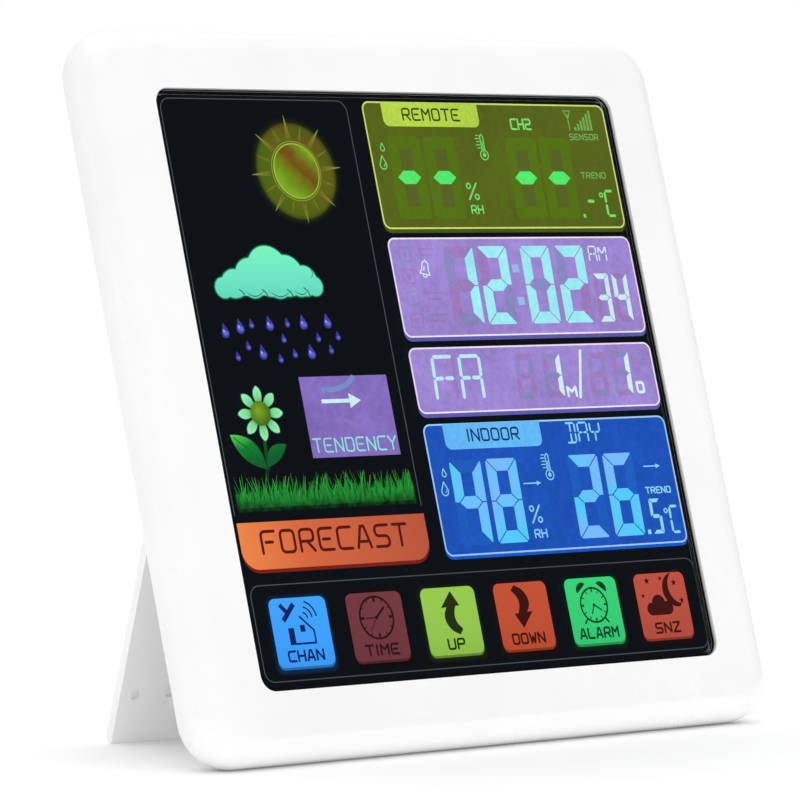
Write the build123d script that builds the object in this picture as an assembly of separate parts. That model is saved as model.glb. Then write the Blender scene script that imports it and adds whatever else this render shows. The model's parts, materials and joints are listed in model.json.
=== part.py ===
from build123d import *
from math import cos, radians, sin
import os

# Home weather station: a square tabletop console with a glass front, leaning back on a fold-out stand.
# All parts are drawn upright: X to the right, Y into the depth from the bezel's front face, and Z up
# from the middle of the glass. lean() then tips the console back onto the table, where +Z is up,
# the front faces -Y, and the origin is in the middle of the footprint. Millimetres.

# ---------------------------------------------------------------- driving dimensions
LEAN = 16.4                  # housing, back from the vertical
OPEN_ANGLE = 33.5            # stand, away from the housing's back when open

WIDTH, HEIGHT = 190.0, 186.0
RIM_DEPTH = 18.0             # bezel front to the flat rim at the back
POD_DEPTH = 26.0             # bezel front to the back of the raised pod
WALL = 2.2
CORNER = 12.6                # housing corner, seen from the front
FRONT_ROUND = 7.5
BACK_ROUND = 10.0
SEAM = 7.75                  # depth of the parting line between the two shells
LIP_RISE, LIP_THICK, LIP_GAP = 1.0, 1.2, 0.15

GLASS = 152.0                # square touch glass
GLASS_THICK = 2.0
GLASS_CORNER = 4.0
GLASS_SUNK = 0.6             # glass face below the bezel face
TAPE = 0.3
TOUCH_FRONT, TOUCH_THICK = 2.95, 0.2
FLEX_THICK = 0.2
GLASS_GAP = 0.2
LEDGE_OPENING = 150.2
LEDGE_THICK = 1.5
LEDGE_CORNER = 0.5
RIM_RIB = 3.0                # width of the thicker rim round the glass, on the inside

POD_HALF_WIDTH = 78.0
POD_BOTTOM, POD_TOP = -80.0, 76.0
POD_CORNER = 9.0
POD_ROUND = 5.0

STAND_WIDTH = 139.6
STAND_THICK = 2.6
STAND_HEEL = 1.7             # how far the plate goes past its pivot, which is what stops it
STAND_FOOT_ROUND = 2.2
STAND_GAP = 0.6              # each side, in the recess
PIVOT_Y, PIVOT_Z = 24.3, 0.0
PIN_RADIUS = 1.0
PIN_LENGTH = 11.5
PIN_IN_WALL = 2.6
RECESS_FLOOR = 22.2
RECESS_TOP = 3.2
DIMPLE_RADIUS, DIMPLE_DEPTH = 1.4, 1.2
DIMPLE_EDGES = (4.8, 15.9)   # in from the stand's side edge
DIMPLE_UP = 13.0             # up the plate from its foot
GRIP_COUNT, GRIP_PITCH, GRIP_WIDTH, GRIP_DEPTH = 4, 2.4, 1.0, 0.5
GRIP_HALF_LENGTH, GRIP_UP = 14.0, 5.5
PIVOT_BLOCK_WIDTH, PIVOT_BLOCK_HALF_HEIGHT = 4.6, 3.0

KEY_COUNT, KEY_SIZE, KEY_PITCH = 6, 17.8, 24.22
KEY_ROW_Z = -62.4
KEY_CORNER = 1.5

STACK_SIDE = 149.6           # the sheets and panels behind the glass
STACK_TOP = 74.8
STACK_BOTTOM = -74.0
LCD_BOTTOM = -49.2
LCD_FRONT, LCD_THICK = 3.2, 2.8
FILM_FRONT, FILM_THICK = 6.05, 0.15
DIFFUSER_FRONT, DIFFUSER_THICK = 6.25, 0.25
GUIDE_FRONT, GUIDE_THICK = 6.55, 3.0
REFLECTOR_FRONT, REFLECTOR_THICK = 9.6, 0.2
TRAY_INSIDE, TRAY_WALL = 150.4, 1.5
TRAY_FLOOR, TRAY_BACK = 10.0, 11.4
TRAY_CORNER = 3.0
EAR_FRONT, EAR_BACK = 8.5, 10.0
EAR_REACH, EAR_CORNER = 4.0, 1.5
TRAY_POST_RADIUS = 2.6

TOUCH_HALF_WIDTH, TOUCH_TOP = 72.0, -51.0
TOUCH_TAIL_LEFT, TOUCH_TAIL_RIGHT, TOUCH_TAIL_TOP = -36.0, -24.0, -70.0
TAIL_DROP = 0.7              # the tail's fold, below the display stack
FLEX_HALF_WIDTH, FLEX_BOTTOM = 20.0, 5.2
LED_COUNT, LED_PITCH, LED_HALF_WIDTH = 8, 15.5, 1.6
LED_FRONT, LED_BACK, LED_REACH = 7.0, 8.7, 1.2
LED_BOARD_LEFT, LED_BOARD_THICK, LED_BOARD_HALF_HEIGHT = -75.0, 0.8, 60.0
GUIDE_LEFT = -72.8

BOARD_FRONT, BOARD_THICK = 12.8, 1.6
BOARD_BACK = BOARD_FRONT + BOARD_THICK
BOARD_HALF_WIDTH = 70.0
BOARD_BOTTOM, BOARD_TOP, HORN_TOP = -72.0, 6.0, 30.0
HORN_INSIDE = 38.0
CHIP_HALF_WIDTH, CHIP_THICK, CHIP_Z = 9.0, 1.6, -31.0
LEG_COUNT, LEG_PITCH, LEG_WIDTH, LEG_REACH, LEG_THICK = 12, 1.3, 0.5, 1.6, 0.5
RADIO_BOARD_THICK = 0.8
SHIELD_X, SHIELD_Z, SHIELD_SIDE, SHIELD_HEIGHT, SHIELD_WALL = 40.0, -51.0, 14.0, 2.4, 0.3
COIL_RADIUS, COIL_WIRE, COIL_PITCH, COIL_LENGTH, COIL_Z = 2.1, 0.35, 1.9, 19.0, -36.0
COIL_LIFT = 2.7
CAPACITOR_X, CAPACITOR_Z, CAPACITOR_RADIUS, CAPACITOR_HEIGHT = 58.0, -6.0, 3.1, 5.2
CRYSTAL_X, CRYSTAL_Z, CRYSTAL_RADIUS, CRYSTAL_LENGTH = -24.0, -20.0, 1.5, 8.0

BAY_HALF_WIDTH, BAY_BOTTOM, BAY_TOP = 26.5, 10.0, 52.6
BAY_FLOOR, BAY_WALL = 13.05, 1.6
DOOR_HALF_WIDTH, DOOR_BOTTOM, DOOR_TOP = 29.5, 7.6, 55.2
DOOR_THICK, DOOR_GAP, DOOR_CORNER = 1.6, 0.25, 2.75
THUMB_RADIUS, THUMB_DEPTH, THUMB_DOWN = 10.0, 0.8, 9.0
DOOR_GRIP_COUNT, DOOR_GRIP_PITCH, DOOR_GRIP_HALF_LENGTH, DOOR_GRIP_UP = 3, 2.6, 9.0, 6.0
CELL_RADIUS, CELL_LENGTH, NUB_RADIUS, NUB_LENGTH = 5.25, 44.5, 1.9, 0.9
CELL_COUNT, CELL_PITCH = 4, 10.65
CELL_Y = 18.35
CONTACT_THICK, CONTACT_BACK = 0.4, 23.4
TAB_FRONT, TAB_BACK, TAB_REACH = 15.0, 17.0, 1.2
SPRING_WIRE, SPRING_RADIUS, SPRING_TAPER, SPRING_TURNS = 0.3, 3.4, -12, 4
WIRE_RADIUS, WIRE_SIDESTEP = 0.6, 5.0

JACK_X, JACK_Z = 54.0, 20.0
JACK_SIDE, JACK_BORE, JACK_PIN, JACK_MOUTH, JACK_FLOOR = 9.0, 2.8, 1.05, 4.0, 1.2
BUTTON_X, BUTTON_Z = -54.0, 20.0
BUTTON_RADIUS, BUTTON_TRAVEL, BUTTON_SUNK = 1.8, 0.5, 0.3
COLLAR_RADIUS, COLLAR_FRONT, COLLAR_BACK = 2.7, 21.8, 23.0
SWITCH_HALF_SIDE, SWITCH_HEIGHT, PLUNGER_RADIUS, PLUNGER_TIP = 3.0, 3.4, 1.6, 4.2
BUZZER_RADIUS, BUZZER_THICK, SOUND_HOLE_RADIUS = 9.0, 4.2, 1.2
SENSOR_HALF_WIDTH, SENSOR_HALF_HEIGHT, SENSOR_FRONT, SENSOR_THICK = 8.0, 9.0, 2.4, 1.0
GRILLE_X, GRILLE_Z = 52.0, 50.0
SLOT_COUNT, SLOT_WIDTH, SLOT_LENGTH, SLOT_PITCH = 6, 1.6, 20.0, 3.8
KEYHOLE_Z, KEYHOLE_HEAD, KEYHOLE_NECK, KEYHOLE_RISE = 62.8, 3.8, 1.9, 6.0

BOSS_RADIUS, TRAY_BOSS_RADIUS, REAR_BOSS_RADIUS = 3.6, 3.0, 4.0
CASE_SCREWS = [(x, z) for x in (-82.0, 82.0) for z in (-80.0, 0.0, 80.0)]
TRAY_SCREWS = [(x, z) for x in (-83.0, 83.0) for z in (-42.0, 42.0)] + [(0.0, -83.0), (0.0, 83.0)]
BOARD_SCREWS = [(x, z) for x in (-65.0, 65.0) for z in (-67.0, 26.0)]
CASE_SEAT = 13.0             # depth under the heads of the case screws
CASE_SHANK, TRAY_SHANK, BOARD_SHANK = 1.25, 1.0, 0.95
CASE_HEAD, TRAY_HEAD, BOARD_HEAD = (2.5, 1.8), (2.3, 1.6), (2.1, 1.4)    # radius, height
CASE_TIP, TRAY_TIP, BOARD_TIP = 3.4, 3.6, 10.2
HEAD_RECESS_RADIUS = 2.9
BLIND_HOLE_FRONT = 3.2
SCREW_FIT, SCREW_CLEARANCE = 0.05, 0.15
HEAD_EDGE, CROSS_ARM, CROSS_BLADE, CROSS_DEPTH = 0.45, 0.55, 0.16, 0.5   # shares of the head

PIN_FIT = 0.04
SMALL_EDGE = 0.4             # rounding on the small metal cans and pins
GROOVE_END = 0.45            # rounding at the ends of the grip grooves
THROUGH = 1.0                # how far a cut runs past the face it breaks
BIG = 400.0


# ---------------------------------------------------------------- drawing helpers
def plate(outline, front, back):
    """Draw an upright outline out from one depth to another."""
    return extrude(Plane.XZ.offset(-front) * outline, amount=front - back)


def panel(left, right, bottom, top, front, back, corner=0.0):
    """A flat rectangular piece, with rounded corners if asked for."""
    centre = Pos((left + right) / 2, (bottom + top) / 2)
    if corner:
        outline = RectangleRounded(right - left, top - bottom, corner)
    else:
        outline = Rectangle(right - left, top - bottom)
    return plate(centre * outline, front, back)


def disc(x, z, radius, front, back):
    """A round post, hole or head that runs in the depth direction."""
    return plate(Pos(x, z) * Circle(radius), front, back)


def rounded_body(width, height, corner, front, back, front_round, back_round):
    """A slab with rounded corners and rounded front and back edges."""
    body = plate(RectangleRounded(width, height, corner), front, back)
    if front_round:
        body = fillet(body.faces().sort_by(Axis.Y)[0].edges(), front_round)
    if back_round:
        body = fillet(body.faces().sort_by(Axis.Y)[-1].edges(), back_round)
    return body


def housing_body(inset):
    """The whole housing's shape, or the hollow inside it when inset by the wall."""
    return rounded_body(WIDTH - 2 * inset, HEIGHT - 2 * inset, CORNER - inset,
                        inset, RIM_DEPTH - inset, FRONT_ROUND - inset, BACK_ROUND - inset)


def pod_body(inset):
    """The raised pod at the back, or the hollow inside it."""
    width = 2 * (POD_HALF_WIDTH - inset)
    height = POD_TOP - POD_BOTTOM - 2 * inset
    body = rounded_body(width, height, POD_CORNER - inset, SEAM + 3 * WALL, POD_DEPTH - inset,
                        0, POD_ROUND - inset)
    return Pos(0, 0, (POD_TOP + POD_BOTTOM) / 2) * body


def behind(depth):
    """Everything further back than a depth."""
    return panel(-BIG, BIG, -BIG, BIG, depth, BIG)


def screws(places, tip, seat, shank_radius, head):
    """Pan-head screws driven in from the back, each with a cross recess in its head."""
    head_radius, head_height = head
    top = seat + head_height
    bottom = top - head_height * CROSS_DEPTH
    arm, blade = head_radius * CROSS_ARM, head_radius * CROSS_BLADE
    pieces = []
    for x, z in places:
        body = disc(x, z, shank_radius, tip, seat) + disc(x, z, head_radius, seat, top)
        body = fillet(body.faces().sort_by(Axis.Y)[-1].edges(), head_height * HEAD_EDGE)
        body -= panel(x - arm, x + arm, z - blade, z + blade, bottom, top + THROUGH)
        body -= panel(x - blade, x + blade, z - arm, z + arm, bottom, top + THROUGH)
        pieces.append(body)
    return pieces


def grooves(count, pitch, first_z, half_length, back):
    """The shallow grip grooves cut into a plate whose outer face is at a given depth."""
    cuts = []
    for number in range(count):
        z = first_z + number * pitch
        cuts.append(panel(-half_length, half_length, z - GRIP_WIDTH / 2, z + GRIP_WIDTH / 2,
                          back - GRIP_DEPTH, back + THROUGH, GROOVE_END))
    return cuts


# ---------------------------------------------------------------- housing shells
def front_bezel():
    """The white front frame, with a ledge that the glass is taped to."""
    shell = housing_body(0) - housing_body(WALL) - behind(SEAM)
    rib = GLASS / 2 + RIM_RIB
    ledge_back = GLASS_SUNK + GLASS_THICK + TAPE + LEDGE_THICK
    shell += panel(-rib, rib, -rib, rib, WALL / 2, ledge_back, GLASS_CORNER + RIM_RIB)
    for x, z in CASE_SCREWS:
        shell += disc(x, z, BOSS_RADIUS, WALL / 2, SEAM + 0.6)
    for x, z in TRAY_SCREWS:
        shell += disc(x, z, TRAY_BOSS_RADIUS, WALL / 2, EAR_FRONT)
    seat = GLASS / 2 + GLASS_GAP
    shell -= panel(-seat, seat, -seat, seat, -THROUGH, GLASS_SUNK + GLASS_THICK + TAPE,
                   GLASS_CORNER + GLASS_GAP)
    opening = LEDGE_OPENING / 2
    shell -= panel(-opening, opening, -opening, opening, -THROUGH, SEAM + THROUGH, LEDGE_CORNER)
    for x, z in CASE_SCREWS:
        shell -= disc(x, z, CASE_SHANK + SCREW_FIT, BLIND_HOLE_FRONT, SEAM + THROUGH)
    for x, z in TRAY_SCREWS:
        shell -= disc(x, z, TRAY_SHANK + SCREW_FIT, BLIND_HOLE_FRONT, EAR_FRONT + THROUGH)
    return shell


def through_pod(outline):
    """A hole of a given outline through the pod's back wall."""
    return plate(outline, POD_DEPTH - WALL - THROUGH, POD_DEPTH + THROUGH)


def stand_recess():
    """The shallow bay in the pod that the stand folds into; it runs out at the pod's lower edge."""
    half = STAND_WIDTH / 2 + STAND_GAP
    return panel(-half, half, POD_BOTTOM - 5, RECESS_TOP, RECESS_FLOOR, POD_DEPTH + 5)


def keyhole():
    """The wall-hook hole: a round head to enter and a narrow neck above it to hang in."""
    head = Pos(0, KEYHOLE_Z) * Circle(KEYHOLE_HEAD)
    neck_middle = Pos(0, KEYHOLE_Z + KEYHOLE_RISE / 2)
    neck = neck_middle * Rectangle(2 * KEYHOLE_NECK, KEYHOLE_RISE)
    end = Pos(0, KEYHOLE_Z + KEYHOLE_RISE) * Circle(KEYHOLE_NECK)
    return through_pod(head + neck + end)


def ring(inset, front, back):
    """A band that follows the housing's outline, out to the lip's inner face."""
    outside = RectangleRounded(WIDTH - 2 * inset, HEIGHT - 2 * inset, CORNER - inset)
    inside = WALL + LIP_GAP + LIP_THICK
    hole = RectangleRounded(WIDTH - 2 * inside, HEIGHT - 2 * inside, CORNER - inside)
    return plate(outside - hole, front, back)


def grille(side):
    """A block of upright slots, one each side: for the sensor's air and the buzzer's sound."""
    slots = []
    for number in range(SLOT_COUNT):
        x = side * GRILLE_X + (number - (SLOT_COUNT - 1) / 2) * SLOT_PITCH
        outline = SlotOverall(SLOT_LENGTH, SLOT_WIDTH, rotation=90)
        slots.append(through_pod(Pos(x, GRILLE_Z) * outline))
    return slots


def seam_lip():
    """The step round the rear shell's front edge that slips inside the bezel."""
    return (ring(WALL + LIP_GAP, SEAM - LIP_RISE, SEAM + LIP_THICK)
            + ring(WALL - LIP_GAP, SEAM, SEAM + LIP_THICK))


def rear_cover():
    """The rear shell: flat rim, raised pod, battery bay, stand recess and posts for the screws."""
    outside = (housing_body(0) & behind(SEAM)) + pod_body(0)
    recess_half = STAND_WIDTH / 2 + STAND_GAP + WALL
    recess_back = panel(-recess_half, recess_half, POD_BOTTOM - 5, RECESS_TOP + WALL,
                        RECESS_FLOOR - WALL, POD_DEPTH + 5)
    cavity = housing_body(WALL) + (pod_body(WALL) - recess_back)
    shell = outside - stand_recess() - cavity + seam_lip()
    block = STAND_WIDTH / 2 + STAND_GAP
    for side in (-1, 1):
        near, far = sorted((side * block, side * (block + PIVOT_BLOCK_WIDTH)))
        shell += panel(near, far, PIVOT_Z - PIVOT_BLOCK_HALF_HEIGHT, PIVOT_Z + PIVOT_BLOCK_HALF_HEIGHT,
                       RECESS_FLOOR - WALL, POD_DEPTH - WALL / 2)
    shell += battery_bay()
    for x, z in CASE_SCREWS:
        shell += disc(x, z, REAR_BOSS_RADIUS, SEAM + 0.7, RIM_DEPTH - WALL / 2)
    return shell - rear_openings()


def rear_openings():
    """Everything cut through the rear shell once its walls and posts are in place."""
    cuts = [panel(-DOOR_HALF_WIDTH - DOOR_GAP, DOOR_HALF_WIDTH + DOOR_GAP,
                  DOOR_BOTTOM - DOOR_GAP, DOOR_TOP + DOOR_GAP,
                  POD_DEPTH - DOOR_THICK - 0.1, POD_DEPTH + THROUGH, DOOR_CORNER + DOOR_GAP),
            panel(-BAY_HALF_WIDTH, BAY_HALF_WIDTH, BAY_BOTTOM, BAY_TOP, BAY_FLOOR, POD_DEPTH + THROUGH),
            keyhole(),
            through_pod(Pos(JACK_X, JACK_Z) * Circle(JACK_MOUTH)),
            through_pod(Pos(BUTTON_X, BUTTON_Z) * Circle(BUTTON_RADIUS + 0.2))]
    cuts += grille(-1) + grille(1)
    for x, z in CASE_SCREWS:
        cuts.append(disc(x, z, CASE_SHANK + SCREW_CLEARANCE, SEAM, CASE_SEAT + THROUGH))
        cuts.append(disc(x, z, HEAD_RECESS_RADIUS, CASE_SEAT, RIM_DEPTH + THROUGH))
    for side in (-1, 1):
        tab = side * (BAY_HALF_WIDTH - CONTACT_THICK / 2)
        cuts.append(panel(tab - CONTACT_THICK, tab + CONTACT_THICK, BAY_BOTTOM - BAY_WALL - 0.5,
                          BAY_BOTTOM + THROUGH, TAB_FRONT - 0.1, TAB_BACK + 0.1))
    cuts.append(Pos(0, PIVOT_Y, PIVOT_Z) * Rot(0, 90, 0) * Cylinder(
        PIN_RADIUS + PIN_FIT, STAND_WIDTH + 2 * (STAND_GAP + PIN_IN_WALL + 0.2)))
    return cuts


def battery_bay():
    """The block behind the door that the battery well is cut into, with a frame for the door to sit on."""
    wall = BAY_WALL
    well = panel(-BAY_HALF_WIDTH - wall, BAY_HALF_WIDTH + wall, BAY_BOTTOM - wall, BAY_TOP + wall,
                 BAY_FLOOR - 1.2, POD_DEPTH - DOOR_THICK)
    frame = panel(-BAY_HALF_WIDTH - wall - 2, BAY_HALF_WIDTH + wall + 2, BAY_BOTTOM - wall - 1.5,
                  BAY_TOP + wall + 2, POD_DEPTH - DOOR_THICK - 1.6, POD_DEPTH - 0.4)
    return well + frame


def battery_door():
    """The snap-in door, flush with the pod, with a thumb hollow and grip grooves."""
    door = panel(-DOOR_HALF_WIDTH, DOOR_HALF_WIDTH, DOOR_BOTTOM, DOOR_TOP,
                 POD_DEPTH - DOOR_THICK, POD_DEPTH, DOOR_CORNER)
    door -= Pos(0, POD_DEPTH + THUMB_RADIUS - THUMB_DEPTH, DOOR_TOP - THUMB_DOWN) * Sphere(THUMB_RADIUS)
    return door - grooves(DOOR_GRIP_COUNT, DOOR_GRIP_PITCH, DOOR_BOTTOM + DOOR_GRIP_UP,
                          DOOR_GRIP_HALF_LENGTH, POD_DEPTH)


# ---------------------------------------------------------------- glass and display stack
def display_glass():
    half = GLASS / 2
    glass = panel(-half, half, -half, half, GLASS_SUNK, GLASS_SUNK + GLASS_THICK, GLASS_CORNER)
    return chamfer(glass.faces().sort_by(Axis.Y)[0].edges(), 0.25)


def glass_gasket():
    """The adhesive frame between the glass and the bezel's ledge."""
    outer, inner = GLASS / 2 - 0.1, LEDGE_OPENING / 2
    front = GLASS_SUNK + GLASS_THICK
    return (panel(-outer, outer, -outer, outer, front, front + TAPE, GLASS_CORNER)
            - panel(-inner, inner, -inner, inner, front - 1, front + 1, LEDGE_CORNER))


def key_x(number):
    """The middle of a touch key, counted from the left."""
    return (number - (KEY_COUNT - 1) / 2) * KEY_PITCH


def touch_film():
    """The printed touch film behind the key row, with its tail led round to the main board."""
    front, thick = TOUCH_FRONT, TOUCH_THICK
    left, right = TOUCH_TAIL_LEFT, TOUCH_TAIL_RIGHT
    drop = STACK_BOTTOM - TAIL_DROP
    plug_in = BOARD_BACK + 1
    film = panel(-TOUCH_HALF_WIDTH, TOUCH_HALF_WIDTH, STACK_BOTTOM + 0.4, TOUCH_TOP, front, front + thick)
    film += panel(left, right, drop, STACK_BOTTOM + 1, front, front + thick)
    film += panel(left, right, drop, drop + thick, front, plug_in + thick)
    film += panel(left, right, drop, TOUCH_TAIL_TOP, plug_in, plug_in + thick)
    return film


def key_baffle():
    """The black grid that keeps each key's light to itself."""
    grid = panel(-STACK_SIDE / 2, STACK_SIDE / 2, STACK_BOTTOM, LCD_BOTTOM - 0.3, LCD_FRONT,
                 LCD_FRONT + LCD_THICK)
    half = KEY_SIZE / 2
    for number in range(KEY_COUNT):
        x = key_x(number)
        grid -= panel(x - half, x + half, KEY_ROW_Z - half, KEY_ROW_Z + half, LCD_FRONT - THROUGH,
                      LCD_FRONT + LCD_THICK + THROUGH, KEY_CORNER)
    return grid


def sheet(front, thick, left=-STACK_SIDE / 2, bottom=STACK_BOTTOM):
    """One of the full-size sheets of the display stack."""
    return panel(left, STACK_SIDE / 2, bottom, STACK_TOP, front, front + thick)


def lcd_flex():
    """The film cable from the LCD's top edge, over the tray and down to the main board."""
    back = TRAY_BACK + 0.15
    over = STACK_TOP + 0.05
    half, thick = FLEX_HALF_WIDTH, FLEX_THICK
    cable = panel(-half, half, over, over + thick, LCD_FRONT + 1.6, back + thick)
    return cable + panel(-half, half, FLEX_BOTTOM, over + thick, back, back + thick)


def led_board():
    """The narrow circuit strip that carries the backlight's lamps."""
    return panel(LED_BOARD_LEFT, LED_BOARD_LEFT + LED_BOARD_THICK, -LED_BOARD_HALF_HEIGHT,
                 LED_BOARD_HALF_HEIGHT, GUIDE_FRONT, GUIDE_FRONT + GUIDE_THICK)


def backlight_leds():
    """The side-firing lamps along the edge of the light guide."""
    lamps = []
    foot = LED_BOARD_LEFT + LED_BOARD_THICK
    for number in range(LED_COUNT):
        z = (number - (LED_COUNT - 1) / 2) * LED_PITCH
        lamps.append(panel(foot, foot + LED_REACH, z - LED_HALF_WIDTH, z + LED_HALF_WIDTH,
                           LED_FRONT, LED_BACK))
    return lamps


def tray_ears():
    """The screw tabs round the tray, each running in from its screw to the tray's wall."""
    ears = []
    for x, z in TRAY_SCREWS:
        left, right = sorted((x - EAR_REACH, x + EAR_REACH))
        bottom, top = sorted((z - EAR_REACH, z + EAR_REACH))
        if x:
            left, right = min(left, x / 2), max(right, x / 2)
        else:
            bottom, top = min(bottom, z / 2), max(top, z / 2)
        ears.append(panel(left, right, bottom, top, EAR_FRONT, EAR_BACK, EAR_CORNER))
    return ears


def display_tray():
    """The plastic tray that holds the display stack against the back of the glass ledge."""
    outer, inner = TRAY_INSIDE / 2 + TRAY_WALL, TRAY_INSIDE / 2
    front = GLASS_SUNK + GLASS_THICK + TAPE + LEDGE_THICK
    tray = panel(-outer, outer, -outer, outer, front, TRAY_BACK, TRAY_CORNER)
    for ear in tray_ears():
        tray += ear
    tray -= panel(-inner, inner, -inner, inner, front - THROUGH, TRAY_FLOOR)
    for x, z in BOARD_SCREWS:
        tray += disc(x, z, TRAY_POST_RADIUS, TRAY_FLOOR + 0.2, BOARD_FRONT)
        tray -= disc(x, z, BOARD_SHANK + SCREW_FIT, TRAY_FLOOR - THROUGH, BOARD_FRONT + THROUGH)
    for x, z in TRAY_SCREWS:
        tray -= disc(x, z, TRAY_SHANK + SCREW_CLEARANCE, EAR_FRONT - THROUGH, EAR_BACK + THROUGH)
    tray -= panel(TOUCH_TAIL_LEFT - 1, TOUCH_TAIL_RIGHT + 1, -inner, STACK_BOTTOM,
                  TRAY_FLOOR - THROUGH, TRAY_BACK + THROUGH)
    tray -= panel(-FLEX_HALF_WIDTH - 1, FLEX_HALF_WIDTH + 1, STACK_TOP, inner,
                  TRAY_FLOOR - THROUGH, TRAY_BACK + THROUGH)
    return tray


# ---------------------------------------------------------------- electronics
def main_board():
    """The circuit board, with a horn up each side of the battery bay."""
    board = panel(-BOARD_HALF_WIDTH, BOARD_HALF_WIDTH, BOARD_BOTTOM, BOARD_TOP,
                  BOARD_FRONT, BOARD_BACK)
    for side in (-1, 1):
        near, far = sorted((side * HORN_INSIDE, side * BOARD_HALF_WIDTH))
        board += panel(near, far, BOARD_TOP - 1, HORN_TOP, BOARD_FRONT, BOARD_BACK)
    for x, z in BOARD_SCREWS:
        board -= disc(x, z, BOARD_SHANK + SCREW_CLEARANCE, BOARD_FRONT - THROUGH, BOARD_BACK + THROUGH)
    return board


def mounted(left, right, bottom, top, height):
    """A block-shaped component that stands on the back of the main board."""
    return panel(left, right, bottom, top, BOARD_BACK, BOARD_BACK + height)


def processor_chip():
    half = CHIP_HALF_WIDTH
    chip = mounted(-half, half, CHIP_Z - half, CHIP_Z + half, CHIP_THICK)
    return chamfer(chip.faces().sort_by(Axis.Y)[-1].edges(), 0.3)


def chip_legs():
    """The chip's legs on all four sides, drawn as short bars."""
    legs = []
    for number in range(LEG_COUNT):
        along = (number - (LEG_COUNT - 1) / 2) * LEG_PITCH
        low, high = along - LEG_WIDTH / 2, along + LEG_WIDTH / 2
        for side in (-1, 1):
            near, far = sorted((side * CHIP_HALF_WIDTH, side * (CHIP_HALF_WIDTH + LEG_REACH)))
            legs.append(mounted(near, far, CHIP_Z + low, CHIP_Z + high, LEG_THICK))
            legs.append(mounted(low, high, CHIP_Z + near, CHIP_Z + far, LEG_THICK))
    return legs


def radio_shield():
    """The radio module's pressed-metal can, a closed box open towards its board."""
    front = BOARD_BACK + RADIO_BOARD_THICK
    half, inside = SHIELD_SIDE / 2, SHIELD_SIDE / 2 - SHIELD_WALL
    can = panel(SHIELD_X - half, SHIELD_X + half, SHIELD_Z - half, SHIELD_Z + half,
                front, front + SHIELD_HEIGHT)
    can = fillet(can.faces().sort_by(Axis.Y)[-1].edges(), SMALL_EDGE)
    return can - panel(SHIELD_X - inside, SHIELD_X + inside, SHIELD_Z - inside, SHIELD_Z + inside,
                       front - THROUGH, front + SHIELD_HEIGHT - SHIELD_WALL)


def antenna_coil():
    """The radio's coil antenna, standing up along the board from the radio module."""
    path = Helix(pitch=COIL_PITCH, height=COIL_LENGTH, radius=COIL_RADIUS)
    profile = Plane(origin=path @ 0, z_dir=path % 0) * Circle(COIL_WIRE)
    return Pos(SHIELD_X, BOARD_BACK + COIL_LIFT, COIL_Z) * sweep(profile, path=path)


def reset_switch():
    """The tact switch behind the reset button."""
    half, top = SWITCH_HALF_SIDE, BOARD_BACK + SWITCH_HEIGHT
    body = panel(BUTTON_X - half, BUTTON_X + half, BUTTON_Z - half, BUTTON_Z + half, BOARD_BACK, top)
    return body + disc(BUTTON_X, BUTTON_Z, PLUNGER_RADIUS, top, BOARD_BACK + PLUNGER_TIP)


def reset_button():
    """The slim button in its hole in the pod, with a collar that keeps it in."""
    nub = BOARD_BACK + PLUNGER_TIP + BUTTON_TRAVEL + 0.1
    button = disc(BUTTON_X, BUTTON_Z, BUTTON_RADIUS, nub, POD_DEPTH - BUTTON_SUNK)
    button = fillet(button.faces().sort_by(Axis.Y)[-1].edges(), SMALL_EDGE)
    return button + disc(BUTTON_X, BUTTON_Z, COLLAR_RADIUS, COLLAR_FRONT, COLLAR_BACK)


def dc_jack():
    """The barrel power inlet, open at the back of the pod."""
    half = JACK_SIDE / 2
    jack = panel(JACK_X - half, JACK_X + half, JACK_Z - half, JACK_Z + half, BOARD_BACK,
                 POD_DEPTH - WALL - 0.1)
    return jack - disc(JACK_X, JACK_Z, JACK_BORE, BOARD_BACK + JACK_FLOOR, POD_DEPTH)


def dc_jack_pin():
    pin = disc(JACK_X, JACK_Z, JACK_PIN, BOARD_BACK + JACK_FLOOR, POD_DEPTH - WALL - 1.1)
    return fillet(pin.faces().sort_by(Axis.Y)[-1].edges(), SMALL_EDGE)


def buzzer():
    """The piezo sounder, fixed behind the left grille, with its small sound hole."""
    back = POD_DEPTH - WALL
    case = disc(-GRILLE_X, GRILLE_Z, BUZZER_RADIUS, back - BUZZER_THICK, back)
    return case - disc(-GRILLE_X, GRILLE_Z, SOUND_HOLE_RADIUS, back - 1.5, back + THROUGH)


def sensor_board():
    """The small board behind the right grille that the air sensor sits on."""
    front = POD_DEPTH - WALL - SENSOR_FRONT
    return panel(GRILLE_X - SENSOR_HALF_WIDTH, GRILLE_X + SENSOR_HALF_WIDTH,
                 GRILLE_Z - SENSOR_HALF_HEIGHT, GRILLE_Z + SENSOR_HALF_HEIGHT, front, front + SENSOR_THICK)


def humidity_sensor():
    front = POD_DEPTH - WALL - SENSOR_FRONT + SENSOR_THICK
    return panel(GRILLE_X - 1.5, GRILLE_X + 1.5, GRILLE_Z - 1.5, GRILLE_Z + 1.5, front, front + 1.1)


def capacitor():
    """The supply's can capacitor, standing on the board."""
    can = disc(CAPACITOR_X, CAPACITOR_Z, CAPACITOR_RADIUS, BOARD_BACK, BOARD_BACK + CAPACITOR_HEIGHT)
    return fillet(can.faces().sort_by(Axis.Y)[-1].edges(), SMALL_EDGE)


def crystal_can():
    """The clock crystal, a small metal cylinder lying on the board."""
    return Pos(CRYSTAL_X, BOARD_BACK + CRYSTAL_RADIUS, CRYSTAL_Z) * Cylinder(
        CRYSTAL_RADIUS, CRYSTAL_LENGTH)


# ---------------------------------------------------------------- batteries
def cell_z(number):
    """The height of a cell's axis, counted from the bottom of the bay."""
    return (BAY_BOTTOM + BAY_TOP) / 2 + (number - (CELL_COUNT - 1) / 2) * CELL_PITCH


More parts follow.
